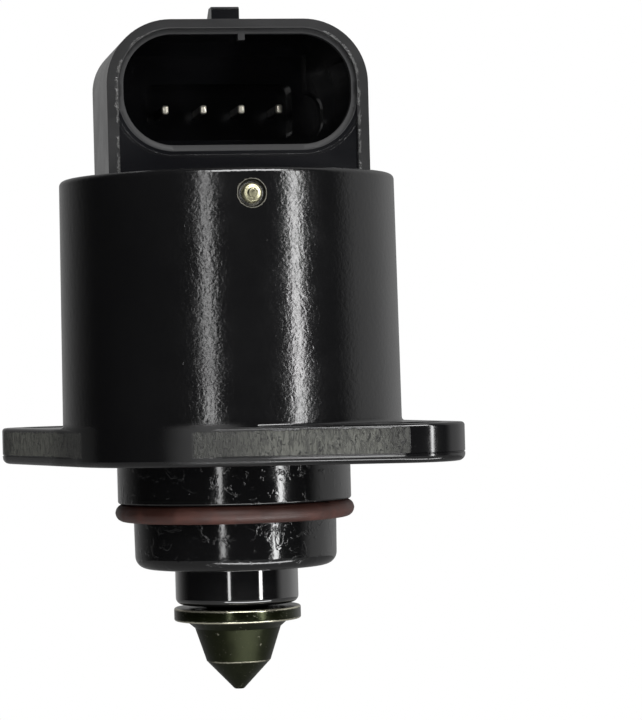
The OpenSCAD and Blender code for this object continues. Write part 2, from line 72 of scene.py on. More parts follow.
# Heights, radii and places that the frame gives
RIM_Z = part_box("housing")[1].z
TUBE_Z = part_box("housing")[0].z
PILOT_R = MOUNTS["pilot"]["dims"]["r_mm"] * MM
HOLE_R = MOUNTS["screw_holes"]["dims"]["hole_r_mm"] * MM
HOLE_HALF = MOUNTS["screw_holes"]["dims"]["pcd_mm"] * MM / 2
HOLE_MIDDLE = Vector(MOUNTS["screw_holes"]["pos_m"][:2])
CHAMBER_FLOOR_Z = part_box("lower_pole_cup")[0].z
PIN_Z = sum(corner.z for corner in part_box("cover_pins")) / 2

# Directions and a size that several makers share
HOLE_LINE = math.radians(-45)
PIN_ANGLES = [math.radians(a) for a in (-90, 30, 150)]
PIN_HOLE_R = 1.2 * MM

# Size of the photograph in pixels
PICTURE_W, PICTURE_H = 642, 720


def size(name, default, description):
    """A length that a user may change, in metres."""
    return FloatProperty(name=name, default=default, description=description, unit="LENGTH", precision=5)


def tint(name, default, description):
    """A colour that a user may change."""
    return FloatVectorProperty(
        name=name, default=default, description=description, subtype="COLOR", size=3, min=0, max=1)


def direction(name, degrees, description):
    """An angle that a user may change, given in degrees."""
    return FloatProperty(
        name=name, default=math.radians(degrees), description=description, subtype="ANGLE")


class CastingSizes(bpy.types.PropertyGroup):
    """Sizes of the painted die casting"""
    body_r: size("Body radius", 15.1 * MM, "Radius of the body where it meets the flange")
    body_top_r: size("Rim radius", 14.909 * MM, "Radius of the body at its open rim")
    rim_edge: size("Rim edge", 0.5 * MM, "Rounding of the body's rim")
    flange_t: size("Flange thickness", 3.3 * MM, "Thickness of the flange")
    flange_edge: size("Flange edge", 0.6 * MM, "Rounding of the flange's edges")
    flange_lip: size("Flange upper edge", 0.3 * MM, "Rounding of the flange's upper edge")
    ear_r: size("Ear radius", 4.745 * MM, "Radius of the flange's ears")
    root_fillet: size("Root fillet", 0.3 * MM, "Fillet between the body and the flange")
    pilot_h: size("Pilot height", 3.5 * MM, "Height of the step that centres the valve")
    nose_r: size("Nose radius", 9.05 * MM, "Radius of the nose under the pilot")
    nose_low_r: size("Nose lower radius", 8.97 * MM, "Radius of the nose at its lower end")
    nose_h: size("Nose height", 5.8 * MM, "Height of the nose")
    nose_edge: size("Nose edge", 1.1 * MM, "Rounding at the bottom of the nose")
    tube_r: size("Guide tube radius", 5.475 * MM, "Outer radius of the guide tube")
    tube_edge: size("Guide tube edge", 0.6 * MM, "Rounding at the mouth of the guide tube")
    tube_bore_r: size("Guide tube bore", 4.3 * MM, "Radius of the guide tube's bore")
    chamber_r: size("Chamber radius", 13.309 * MM, "Radius of the motor chamber")
    bearing_r: size("Bearing seat radius", 6.52 * MM, "Radius of the bearing's seat")
    bearing_floor_z: size("Bearing seat floor", -2.6 * MM, "Height of the bearing seat's floor")
    screw_way_r: size("Screw way radius", 2.55 * MM, "Radius of the way for the screw")
    guide_top_z: size("Guide ceiling", -4.3 * MM, "Height of the ceiling over the screw's guide")
    groove: size("Parting groove", 0.07 * MM, "Depth of the groove at the casting's parting line")
    groove_z: size("Parting height", 0.72 * MM, "Height of the parting line on the flange's edge")
    paint: tint("Paint", (0.003, 0.003, 0.0032), "Colour of the black paint")
    # The trimmed flank colour is a painted reflection on the flange's flat flanks.
    flank: tint("Trimmed flank", (0.09, 0.092, 0.079), "Colour of the flange's dull trimmed flanks")
    chip: tint("Bare metal", (0.55, 0.53, 0.45), "Colour of the metal where paint is chipped")


class CoverSizes(bpy.types.PropertyGroup):
    """Sizes of the plastic cover, its contacts and its pins"""
    edge: size("Cover edge", 0.16 * MM, "Rounding of the cover's moulded edges")
    hood_front: size("Hood front", 8.7 * MM, "Distance from the axis to the hood's face")
    hood_w: size("Hood width", 22.8 * MM, "Width of the connector's hood")
    hood_h: size("Hood height", 13.2 * MM, "Height of the hood above the body's rim")
    hood_corner: size("Hood corner", 5.6 * MM, "Radius of the hood's upper corners")
    band_w: size("Band width", 1 * MM, "Width of the raised band round the hood's face")
    mouth_w: size("Mouth width", 20.8 * MM, "Width of the socket's mouth")
    mouth_h: size("Mouth height", 10.5 * MM, "Height of the socket's mouth")
    mouth_corner: size("Mouth corner", 4.8 * MM, "Corner radius of the socket's mouth")
    mouth_lift: size("Mouth lift", 1.9 * MM, "Height of the mouth above the body's rim")
    lip_w: size("Lip width", 0.45 * MM, "Width of the lip round the socket's mouth")
    lip_depth: size("Lip depth", 0.7 * MM, "Depth of the lip round the socket's mouth")
    lip_start: size("Lip start", 0.32 * MM, "Distance from the hood's face back to the lip")
    contact_edge: size("Contact edge", 0.2 * MM, "Rounding of a contact's tip")
    pin_r: size("Pin radius", 0.86 * MM, "Radius of a retaining pin's end")
    plastic: tint("Plastic", (0.0021, 0.0022, 0.0028), "Colour of the cover's plastic")
    # The lighter plastic colour serves the scuffed band and the painted highlights round the socket's mouth.
    rubbed_and_highlit: tint("Rubbed plastic", (0.0062, 0.0062, 0.0066), "Colour of the plastic where it is rubbed")
    contact: tint("Contact", (0.86, 0.82, 0.7), "Colour of the tinned contacts")
    pin: tint("Pin", (0.42, 0.4, 0.27), "Colour of the retaining pins")


class MotorSizes(bpy.types.PropertyGroup):
    """Sizes of the motor's wire, thread, balls and spring"""
    wire: size("Winding wire", 0.22 * MM, "Thickness of the enamelled wire")
    thread_pitch: size("Thread pitch", 1.0 * MM, "Pitch of the lead screw")
    thread_depth: size("Thread depth", 0.42 * MM, "Depth of the lead screw's thread")
    screw_flats: size("Screw flats", 3.2 * MM, "Width across the lead screw's flats")
    ball_r: size("Ball radius", 1.0 * MM, "Radius of a bearing ball")
    ball_track_r: size("Ball track", 4.75 * MM, "Radius of the circle of balls")
    ball_count: IntProperty(name="Balls", default=8, min=3, description="Number of bearing balls")
    spring_wire: size("Spring wire", 0.6 * MM, "Thickness of the return spring's wire")
    spring_r: size("Spring radius", 3.525 * MM, "Radius of the spring's middle line")
    spring_turns: FloatProperty(name="Spring turns", default=5, min=2, description="Turns of the spring")
    spring_flat: FloatProperty(
        name="Spring flatness", default=0.6, min=0.2, max=1, description="Height of the wire over its width")
    copper: tint("Copper", (0.55, 0.22, 0.07), "Colour of the enamelled wire")


class PintleSizes(bpy.types.PropertyGroup):
    """Sizes of the pintle and of the O-ring"""
    collar_r: size("Collar radius", 5.65 * MM, "Radius of the pintle's collar")
    collar_t: size("Collar thickness", 1.15 * MM, "Thickness of the collar")
    collar_edge: size("Collar edge", 0.16 * MM, "Rounding of the collar's edges")
    flare_r: size("Flare radius", 4.525 * MM, "Radius of the flare under the collar")
    flare_h: size("Flare height", 0.7 * MM, "Height of the flare under the collar")
    cone_r: size("Cone radius", 3.825 * MM, "Radius at the top of the cone")
    cone_low_r: size("Cone lower radius", 2.85 * MM, "Radius where the cone meets the tip")
    cone_h: size("Cone height", 2.95 * MM, "Height of the upper cone")
    tip_r: size("Tip radius", 0.42 * MM, "Radius of the blunt tip")
    hub_r: size("Hub radius", 2.75 * MM, "Radius of the hub inside the spring")
    hub_h: size("Hub height", 1.5 * MM, "Height of the hub above the collar")
    metal: tint("Pintle", (0.0125, 0.0148, 0.0055), "Colour of the pintle")
    ring: tint("O-ring", (0.035, 0.0115, 0.008), "Colour of the O-ring")


class StageSizes(bpy.types.PropertyGroup):
    """Camera, lights and floor"""
    azimuth: direction("Azimuth", -8.2, "Direction of the camera")
    distance: size("Distance", 260 * MM, "Distance from the camera to the valve's axis")
    height: size("Height", 8.15 * MM, "Height of the camera above the mounting face")
    roll: direction("Roll", 1.47, "Turn about the line of sight")
    focal: FloatProperty(name="Focal length", default=2912, description="Focal length in picture pixels")
    axis_x: FloatProperty(
        name="Axis across", default=231.4, description="Valve's axis in the picture, in pixels")
    axis_y: FloatProperty(
        name="Axis down", default=370, description="Camera's level in the picture, in pixels")
    floor_z: size("Floor", -60 * MM, "Height of the floor")
    floor_r: size("Floor radius", 260 * MM, "Radius of the floor")
    lamp_reach: size("Lamp reach", 620 * MM, "Distance from the axis to the strips and the box")
    strip_h: size("Strip height", 750 * MM, "Height of the two strips")
    strip_left: direction("Left strip", -22.5, "Direction of the left strip")
    strip_right: direction("Right strip", 37.3, "Direction of the right strip")


class Socket:
    """One output of a node. Arithmetic on it adds Math nodes."""

    def __init__(self, graph, socket):
        self.graph = graph
        self.socket = socket

    def __add__(self, other):
        return self.graph.maths("ADD", self, other)

    def __radd__(self, other):
        return self.graph.maths("ADD", other, self)

    def __sub__(self, other):
        return self.graph.maths("SUBTRACT", self, other)

    def __rsub__(self, other):
        return self.graph.maths("SUBTRACT", other, self)

    def __mul__(self, other):
        return self.graph.maths("MULTIPLY", self, other)

    def __rmul__(self, other):
        return self.graph.maths("MULTIPLY", other, self)

    def __rtruediv__(self, other):
        return self.graph.maths("DIVIDE", other, self)


def find_socket(sockets, key):
    """The socket with this place, identifier or name."""
    if isinstance(key, int):
        return sockets[key]
    for attribute in ("identifier", "name"):
        for socket in sockets:
            if getattr(socket, attribute) == key:
                return socket
    raise KeyError(key)


class Graph:
    """A node tree that is built by calls."""

    def __init__(self, tree):
        self.tree = tree

    def add(self, kind, settings=None, inputs=None):
        """Adds a node: its settings first, then the values or links of its sockets."""
        node = self.tree.nodes.new(kind)
        for key, value in (settings or {}).items():
            setattr(node, key, value)
        for key, value in (inputs or {}).items():
            socket = find_socket(node.inputs, key)
            if isinstance(value, Socket):
                self.tree.links.new(value.socket, socket)
            else:
                socket.default_value = value
        return node

    def get(self, kind, settings=None, inputs=None, out=0):
        """Adds a node and returns one of its outputs."""
        node = self.add(kind, settings, inputs)
        return Socket(self, find_socket(node.outputs, out))

    def maths(self, operation, first, second=0.0):
        return self.get("ShaderNodeMath", {"operation": operation}, {0: first, 1: second})

    def extreme(self, operation, values):
        """The MINIMUM or the MAXIMUM of several values."""
        found = values[0]
        for value in values[1:]:
            found = self.maths(operation, found, value)
        return found

    def hypotenuse(self, first, second):
        """Distance that two lengths at a right angle span."""
        return self.maths("SQRT", first * first + second * second)

    def spread(self, value, low, high, to_low=0.0, to_high=1.0, kind="SMOOTHSTEP"):
        """A value taken from one range to another, and held at its ends."""
        return self.get("ShaderNodeMapRange", {"interpolation_type": kind}, {
            "Value": value, "From Min": low, "From Max": high, "To Min": to_low, "To Max": to_high})

    def stripe(self, value, edge, core):
        """1 where a value is within core of 0, fading to 0 at edge."""
        return self.spread(self.maths("ABSOLUTE", value), edge, core)

    def parts(self, vector):
        node = self.add("ShaderNodeSeparateXYZ", inputs={0: vector})
        return [Socket(self, output) for output in node.outputs]

    def joined(self, x, y, z):
        return self.get("ShaderNodeCombineXYZ", inputs={0: x, 1: y, 2: z})


class Finish(Graph):
    """A material's graph, with patterns on Object coordinates in metres."""

    def __init__(self, name):
        self.material = bpy.data.materials.new(name)
        self.material.use_nodes = True
        super().__init__(self.material.node_tree)
        self.tree.nodes.clear()
        self.place = self.get("ShaderNodeTexCoord", out="Object")

    def stretched(self, x, y, z):
        """The place of each point with its axes scaled, for patterns that run one way."""
        return self.get(
            "ShaderNodeVectorMath", {"operation": "MULTIPLY"}, {0: self.place, 1: (x, y, z)}, "Vector")

    def noise(self, grain, detail=2.0, place=None, distortion=0.0, roughness=0.5):
        """Noise from 0 to 1 whose lumps are about grain metres across."""
        return self.get("ShaderNodeTexNoise", inputs={
            "Vector": place or self.place, "Scale": 1 / grain, "Detail": detail,
            "Roughness": roughness, "Distortion": distortion}, out="Fac")

    def jitter(self, grain, detail, reach, distortion=0.0):
        """Noise about 0 that shifts an edge by up to half of reach."""
        return (self.noise(grain, detail, distortion=distortion) - 0.5) * reach

    def specks(self, spacing, radius):
        """1 inside small round specks about spacing metres apart, and 0 between them."""
        distance = self.get("ShaderNodeTexVoronoi", inputs={
            "Vector": self.place, "Scale": 1 / spacing, "Randomness": 1.0}, out="Distance")
        return self.spread(distance, radius / spacing, 0.4 * radius / spacing)

    def mix(self, factor, first, second):
        """One colour over another."""
        colours = [value if isinstance(value, Socket) else (*value, 1) for value in (first, second)]
        return self.get("ShaderNodeMix", {"data_type": "RGBA"}, {
            "Factor_Float": factor, "A_Color": colours[0], "B_Color": colours[1]}, "Result_Color")

    def bump(self, height, depth):
        """A normal bent by a height from 0 to 1 that stands for depth metres."""
        return self.get("ShaderNodeBump", inputs={"Height": height, "Distance": depth})

    def surface(self, **inputs):
        """Ends the material in a Principled shader with these inputs."""
        named = {key.replace("_", " ").title(): value for key, value in inputs.items()}
        shader = self.get("ShaderNodeBsdfPrincipled", inputs=named)
        self.add("ShaderNodeOutputMaterial", inputs={"Surface": shader})
        return self.material


def shade(colour, factor):
    """A colour made lighter or darker by a factor."""
    return tuple(min(1, factor * part) for part in colour)


def pin_marks(g):
    """Distance of each point from the nearest pin's axis, in metres, on the outside of the body."""
    x, y, z = g.parts(g.place)
    radii = []
    for angle in PIN_ANGLES:
        across = y * math.cos(angle) - x * math.sin(angle)
        outward = x * math.cos(angle) + y * math.sin(angle)
        inside = g.spread(outward, 11 * MM, 10 * MM, 0.0, 1.0, "LINEAR")
        radii.append(g.hypotenuse(across, z - PIN_Z) + inside)
    return g.extreme("MINIMUM", radii)


def flank_marks(g, sizes):
    """The flange's trimmed flanks: where they lie, how grey their painted reflection is, how deeply they are
    scored, and the paint beside them that is worn."""
    x, y, z = g.parts(g.place)
    reach = g.hypotenuse(x, y)
    outward = g.extreme("MAXIMUM", [
        x * math.cos(facing) + y * math.sin(facing)
        for _, *facings in ear_flanks(sizes) for facing in facings])
    ragged_z = z + g.jitter(0.7 * MM, 3, 0.5 * MM, 0.8)
    flank = g.spread(outward, sizes.body_r - 0.045 * MM, sizes.body_r - 0.012 * MM)
    flank = flank * g.spread(ragged_z, sizes.groove_z + 0.05 * MM, sizes.groove_z + 0.16 * MM)
    flank = flank * g.spread(ragged_z, sizes.flange_t - 0.25 * MM, sizes.flange_t - 0.4 * MM)
    # Painted reflection: paler to the left and away from the body, up to the ears' ends
    pale = g.spread(reach, sizes.body_r - 0.1 * MM, sizes.body_r + 1.6 * MM, 0.25, 1.0)
    pale = pale * g.spread(x, -4 * MM, 4 * MM, 1.0, 0.6)
    pale = pale * g.spread(reach, sizes.body_r + 5.9 * MM, sizes.body_r + 7 * MM, 1.0, 0.5)
    nicks = g.spread(g.noise(0.5 * MM, 4, g.stretched(1, 1, 0.6), 2.0), 0.56, 0.64)
    drag = g.spread(g.noise(0.26 * MM, 4, g.stretched(1, 1, 0.3), 0.6, 0.7), 0.36, 0.6)
    grey = flank * pale * (1 - nicks * 0.8) * (drag * 0.7 + 0.4)
    worn = g.spread(outward, sizes.body_r - 0.7 * MM, sizes.body_r - 0.1 * MM)
    worn = worn * g.spread(reach, sizes.body_r + 1.5 * MM, sizes.body_r + 0.4 * MM)
    return flank, grey, (nicks + drag) * flank, worn


def gloss_paint(name, sizes):
    """Thick black paint over a casting: orange peel on the body, dents on the nose, a smooth guide
    tube, dull trimmed flanks on the flange with a painted grey reflection, and chips round the pins."""
    g = Finish(name)
    _, _, z = g.parts(g.place)
    nose_low_z = -sizes.pilot_h - sizes.nose_h
    tube = g.spread(z, nose_low_z + 0.15 * MM, nose_low_z - 0.1 * MM)
    nose = g.spread(z, 0.1 * MM, -0.1 * MM) * (1 - tube)
    body = g.spread(z, sizes.flange_t - 0.1 * MM, sizes.flange_t + 0.6 * MM)
    flank, grey, scored, worn = flank_marks(g, sizes)
    worn = worn * (1 - body) * (1 - nose - tube)
    peel = g.noise(0.37 * MM, 3, distortion=0.5) + g.noise(2.4 * MM, 1) * 0.8
    dents = g.spread(g.noise(1.3 * MM, 3, distortion=1.4, roughness=0.6), 0.55, 0.7) * nose
    pits = g.specks(1.3 * MM, 0.1 * MM) * g.spread(g.noise(5 * MM, 1), 0.52, 0.6) * (1 - tube)
    height = peel * (body * 0.72 + nose * 0.2 + 0.06) + dents * 0.7 - pits - scored * 1.2
    chipped = g.spread(
        pin_marks(g) + g.jitter(0.35 * MM, 3, 0.26 * MM), PIN_HOLE_R + 0.08 * MM, PIN_HOLE_R + 0.03 * MM)
    black = g.mix(g.spread(g.noise(14 * MM, 3), 0.3, 0.7), sizes.paint, shade(sizes.paint, 1.3))
    rough = g.spread(g.noise(2.5 * MM, 3), 0.3, 0.7, 0.13, 0.18) - nose * 0.03 - (1 - body) * 0.02
    rough = rough - tube * 0.05 + g.maths("MAXIMUM", flank * 0.45, worn * 0.3)
    # The grey mixed over the black on the flanks is a painted reflection; chips show bare metal.
    return g.surface(
        base_color=g.mix(chipped, g.mix(grey, black, sizes.flank), sizes.chip),
        metallic=chipped * 0.9, roughness=rough, coat_weight=tube, coat_roughness=0.04,
        normal=g.bump(height, 0.026 * MM))


def pin_end(name, colour):
    """Pale turned pin whose shoulder, down in its hole, is coloured black as painted shade."""
    g = Finish(name)
    # Painted shade: black on the pin's shoulder down in its hole.
    black = (0.004, 0.004, 0.004)
    painted = g.spread(pin_marks(g) + g.jitter(0.3 * MM, 3, 0.1 * MM), 0.84 * MM, 0.9 * MM)
    cloud = g.noise(0.35 * MM, 4, distortion=0.5)
    return g.surface(
        base_color=g.mix(painted, g.mix(cloud, shade(colour, 0.6), colour), black),
        metallic=(1 - painted) * 0.95, roughness=g.spread(cloud, 0.3, 0.7, 0.22, 0.4),
        normal=g.bump(cloud, 0.02 * MM))


def flow_marks(g):
    """Faint marks along the way that plastic ran into its mould."""
    return g.noise(4 * MM, 3, g.stretched(0.4, 1, 1), 0.4)


def moulded_plastic(name, colour):
    """Moulded plastic: fine spark grain, faint flow marks."""
    g = Finish(name)
    flow = flow_marks(g)
    return g.surface(
        base_color=g.mix(flow, colour, shade(colour, 0.92)), roughness=g.spread(flow, 0.3, 0.7, 0.36, 0.5),
        normal=g.bump(g.noise(0.16 * MM, 2) + flow * 0.8, 0.008 * MM))


def mouth_middle_z(sizes):
    """Height of the middle of the socket's mouth."""
    return RIM_Z + sizes.mouth_lift + sizes.mouth_h / 2


def past_corner(g, across, corner_x, up, corner_z):
    """Distance of each point from a corner's middle, or from the straight lines that run on from it."""
    return g.hypotenuse(g.maths("MAXIMUM", across - corner_x, 0), g.maths("MAXIMUM", up - corner_z, 0))


def hood_plastic(name, sizes):
    """The cover's black plastic: glossy in the socket, a greyer scuffed band round the hood's face with
    ragged flash along it, a dull lip in the socket's mouth with a painted highlight on its front edge, and a
    painted highlight line with a faint ridge round the mouth, mostly below."""
    g = Finish(name)
    torn = (0.07, 0.07, 0.068)
    x, y, z = g.parts(g.place)
    deep = y + sizes.hood_front
    side = g.maths("ABSOLUTE", x)
    corner_x = sizes.hood_w / 2 - sizes.hood_corner
    from_band = past_corner(g, side, corner_x, z, RIM_Z + sizes.hood_h - sizes.hood_corner) - (
        sizes.hood_corner - sizes.band_w)
    mouth_z = mouth_middle_z(sizes)
    from_mouth = past_corner(
        g, side, sizes.mouth_w / 2 - sizes.mouth_corner,
        g.maths("ABSOLUTE", z - mouth_z), sizes.mouth_h / 2 - sizes.mouth_corner) - sizes.mouth_corner
    jag = g.jitter(0.4 * MM, 4, 0.5 * MM, 1.2)
    front = g.spread(deep, 0.5 * MM, 0.36 * MM)
    band = g.spread(deep, 0.17 * MM, 0.1 * MM)
    lower = g.spread(z, mouth_z + 1.5 * MM, mouth_z - 1.5 * MM)
    patchy = g.spread(g.noise(1.2 * MM, 3, distortion=0.6), 0.44, 0.6)
    flash = g.stripe(from_band + jag - 0.15 * MM, 0.13 * MM, 0.05 * MM) * front * patchy
    flash = flash * g.spread(side, corner_x, sizes.hood_w / 2 - 1.6 * MM)
    # Painted highlight line on the face 0.5 mm outside the mouth, with a faint ridge, mostly below the
    # mouth's middle.
    glint_ridge = g.stripe(from_mouth + jag * 0.3 - 0.5 * MM, 0.16 * MM, 0.08 * MM)
    glint_ridge = glint_ridge * front * lower * (1 - band) * 0.35
    # Painted highlight on the lip's front edge just inside the mouth, stronger below.
    lip_highlight = g.spread(from_mouth + jag * 0.2, -0.02 * MM, -0.08 * MM) * (lower * 0.5 + 0.1)
    lip_highlight = lip_highlight * g.spread(deep, 0.6 * MM, 0.5 * MM)
    dull_lip = g.spread(from_mouth, 0.1 * MM, 0) * g.spread(deep, 1.2 * MM, 1 * MM)
    inside = g.spread(from_mouth, 0.1 * MM, 0) * g.spread(deep, 0.6 * MM, 1.6 * MM)
    scuff = g.spread(g.noise(0.5 * MM, 4, distortion=1.5, roughness=0.7), 0.56, 0.72) * band
    # The scuffs on the band and the painted highlights take the lighter plastic colour.
    grey = g.maths("MINIMUM", band * 0.85 + scuff * 0.5 + lip_highlight + glint_ridge, 1)
    flow = flow_marks(g)
    colour = g.mix(grey, g.mix(flow, sizes.plastic, shade(sizes.plastic, 1.4)), sizes.rubbed_and_highlit)
    rough = g.spread(flow, 0.3, 0.7, 0.18, 0.24) + band * 0.14 + dull_lip * 0.5 - inside * 0.04
    return g.surface(
        base_color=g.mix(flash * 0.6, colour, torn), roughness=rough,
        normal=g.bump(g.noise(0.14 * MM, 2) * 0.4 + flow * 0.6 + flash * 4 + glint_ridge * 3, 0.01 * MM))


def turned_metal(name, colour, rough, depth=0.004 * MM, coat=0.0):
    """Metal turned about the valve's axis: fine rings and a cloudy tarnish."""
    g = Finish(name)
    rings = g.noise(0.12 * MM, 2, g.stretched(0.05, 0.05, 1))
    cloud = g.noise(1.6 * MM, 4, distortion=0.5)
    return g.surface(
        base_color=g.mix(cloud, shade(colour, 0.75), colour), metallic=1.0,
        roughness=g.spread(cloud, 0.3, 0.7, rough, rough + 0.14), coat_weight=coat,
        normal=g.bump(rings + cloud * 0.5, depth))


def pressed_steel(name, colour, rough=0.34):
    """Zinc plated sheet: faint spangle and drawing marks."""
    g = Finish(name)
    spangle = g.get("ShaderNodeTexVoronoi", {"feature": "F1"}, {
        "Vector": g.place, "Scale": 1 / (1.4 * MM)}, "Color")
    tone = g.parts(spangle)[0]
    scratches = g.noise(0.1 * MM, 2, g.stretched(1, 1, 0.04))
    return g.surface(
        base_color=g.mix(tone, shade(colour, 0.8), colour), metallic=1.0,
        roughness=tone * 0.12 + rough, normal=g.bump(scratches, 0.004 * MM))


def soft_rubber(name, colour):
    """Moulded rubber with a faint bloom."""
    g = Finish(name)
    bloom = g.noise(2.2 * MM, 4, distortion=0.8)
    return g.surface(
        base_color=g.mix(g.spread(bloom, 0.35, 0.75), colour, shade(colour, 1.9)),
        roughness=g.spread(bloom, 0.3, 0.7, 0.42, 0.6),
        normal=g.bump(g.noise(0.12 * MM, 2) + bloom, 0.01 * MM))


def sintered(name, colour):
    """Pressed powder: pores and a dull skin."""
    g = Finish(name)
    pores = g.specks(0.35 * MM, 0.07 * MM)
    cloud = g.noise(1.2 * MM, 4)
    return g.surface(
        base_color=g.mix(cloud, colour, shade(colour, 0.7)), metallic=1 - pores * 0.6,
        roughness=cloud * 0.2 + 0.5, normal=g.bump(cloud - pores, 0.012 * MM))


def ferrite(name, colour):
    """Bonded magnet: dark grey, dull, with fine pores."""
    g = Finish(name)
    pores = g.specks(0.4 * MM, 0.06 * MM)
    cloud = g.noise(1.5 * MM, 4)
    return g.surface(
        base_color=g.mix(cloud, colour, shade(colour, 1.5)), metallic=cloud * 0.2,
        roughness=cloud * 0.2 + 0.45, normal=g.bump(cloud - pores, 0.01 * MM))


def enamelled_wire(name, colour):
    """Copper wire under clear enamel, darker where the turns have cooked."""
    g = Finish(name)
    cooked = g.spread(g.noise(2.5 * MM, 3), 0.35, 0.7)
    return g.surface(
        base_color=g.mix(cooked, colour, shade(colour, 0.6)), metallic=1.0,
        roughness=cooked * 0.1 + 0.26, coat_weight=cooked * 0.3 + 0.6,
        normal=g.bump(g.noise(0.2 * MM, 2), 0.003 * MM))


def collar_levels(sizes):
    """Heights of the collar's upper and lower face, of the cone's top and of its lower break."""
    collar_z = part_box("pintle")[1].z - sizes.hub_h
    collar_low_z = collar_z - sizes.collar_t
    cone_z = collar_low_z - sizes.flare_h
    return collar_z, collar_low_z, cone_z, cone_z - sizes.cone_h


def olive_metal(name, sizes):
    """The pintle's glossy dark olive coating, mottled, with painted highlight lines along the collar's
    edges, a light ring at the cone's break and pale nicks.
    """
    g = Finish(name)
    # Pale metal for the painted highlight lines on the collar, the ring at the cone's break and the nicks.
    bright = (0.5, 0.48, 0.38)
    x, y, z = g.parts(g.place)
    collar_z, collar_low_z, _, break_z = collar_levels(sizes)
    cloud = g.noise(0.9 * MM, 5, distortion=0.7, roughness=0.6)
    jag = g.jitter(0.4 * MM, 3, 0.16 * MM)
    rim = g.spread(g.hypotenuse(x, y), sizes.collar_r - 0.32 * MM, sizes.collar_r - 0.12 * MM)
    # Painted highlights: light lines along the collar's upper and lower edges.
    edges = [g.stripe(z + jag - level, 0.2 * MM, 0.1 * MM) * rim for level in (collar_z, collar_low_z)]
    ring = g.stripe(z + jag * 0.6 - break_z, 0.09 * MM, 0.03 * MM) * g.spread(cloud, 0.35, 0.6, 0.2, 0.7)
    nicks = g.spread(g.noise(0.3 * MM, 4, distortion=1.2), 0.66, 0.74) * 0.4
    cone = g.spread(z, collar_low_z, collar_low_z - 0.3 * MM)
    dark = g.mix(cloud, shade(sizes.metal, 0.6), shade(sizes.metal, 1.5))
    return g.surface(
        base_color=g.mix(g.extreme("MAXIMUM", [*edges, ring, nicks]), dark, bright), metallic=0.85,
        roughness=g.spread(cloud, 0.3, 0.7, 0.16, 0.26) + cone * 0.14,
        normal=g.bump(cloud + nicks, 0.012 * MM))


def tinned_contact(name, colour):
    """Tinned blade: bright at its tip; further in, nearly black as painted shade of the socket, less
    metallic and rougher.
    """
    g = Finish(name)
    _, y, _ = g.parts(g.place)
    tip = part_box("terminal_1")[0].y
    # Painted shade: away from the tip the blade's colour drops to near black.
    bright = g.spread(y, tip + 0.5 * MM, tip + 0.15 * MM)
    cloud = g.noise(0.5 * MM, 3)
    return g.surface(
        base_color=g.mix(bright, shade(colour, 0.015), g.mix(cloud, shade(colour, 0.85), colour)),
        metallic=bright * 0.5 + 0.35, roughness=g.spread(cloud, 0.3, 0.7, 0.4, 0.55) - bright * 0.1,
        normal=g.bump(cloud, 0.01 * MM))


def floor_finish(name):
    """Pale floor: near white to the camera, grey in reflections, with a soft shadow."""
    g = Finish(name)
    grey = g.mix(g.noise(60 * MM, 3), (0.2, 0.2, 0.2), (0.24, 0.24, 0.24))
    matt = g.get("ShaderNodeBsdfDiffuse", inputs={"Color": grey})
    glow = g.get("ShaderNodeEmission", inputs={"Color": (1, 1, 1, 1), "Strength": 1.0})
    path = g.add("ShaderNodeLightPath")
    seen = Socket(g, path.outputs["Is Camera Ray"]) + Socket(g, path.outputs["Is Transmission Ray"])
    shader = g.get("ShaderNodeMixShader", inputs={0: seen * 0.93, 1: matt, 2: glow})
    g.add("ShaderNodeOutputMaterial", inputs={"Surface": shader})
    return g.material


def heading(angle):
    """The direction at an angle from X, seen from above."""
    return Vector((math.cos(angle), math.sin(angle)))


def rounded(corners, steps=6, closed=False):
    """An outline through corners (x, y, radius), with each corner rounded by its radius."""
    points = []
    last = len(corners) - 1
    for k, (x, y, radius) in enumerate(corners):
        here = Vector((x, y))
        if not radius or (not closed and k in (0, last)):
            points.append(here)
            continue
        back = (Vector(corners[k - 1][:2]) - here).normalized()
        onward = (Vector(corners[(k + 1) % len(corners)][:2]) - here).normalized()
        half = back.angle(onward) / 2
        centre = here + (back + onward).normalized() * (radius / math.sin(half))
        start = here + back * (radius / math.tan(half)) - centre
        end = here + onward * (radius / math.tan(half)) - centre
        begin = math.atan2(start.y, start.x)
        sweep = (math.atan2(end.y, end.x) - begin + math.pi) % TAU - math.pi
        points += [centre + radius * heading(begin + sweep * step / steps) for step in range(steps + 1)]
    return points


def quarter_round(radius, steps=6):
    """A rounded edge as (height, inset) pairs, from the face up to the full outline."""
    turns = [math.pi / 2 * k / steps for k in range(steps + 1)]
    return [(radius * (1 - math.cos(turn)), radius * (1 - math.sin(turn))) for turn in turns]


def bridge(bm, low, high):
    """Faces between two rings of vertices; a ring of one vertex is a pole."""
    count = max(len(low), len(high))
    for k in range(count):
        n = (k + 1) % count
        corners = [low[k % len(low)], low[n % len(low)], high[n % len(high)], high[k % len(high)]]
        corners = list(dict.fromkeys(corners))
        if len(corners) > 2:
            bm.faces.new(corners)


def placed(name, data):
    """A new object in the scene that holds some data."""
    thing = bpy.data.objects.new(name, data)
    bpy.context.scene.collection.objects.link(thing)
    return thing


def finished(name, bm, matrix=None):
    """A mesh object from a closed bmesh, with its faces pointing outwards."""
    if matrix is not None:
        bm.transform(matrix)
    bmesh.ops.recalc_face_normals(bm, faces=bm.faces)
    mesh = bpy.data.meshes.new(name)
    bm.to_mesh(mesh)
    bm.free()
    return placed(name, mesh)


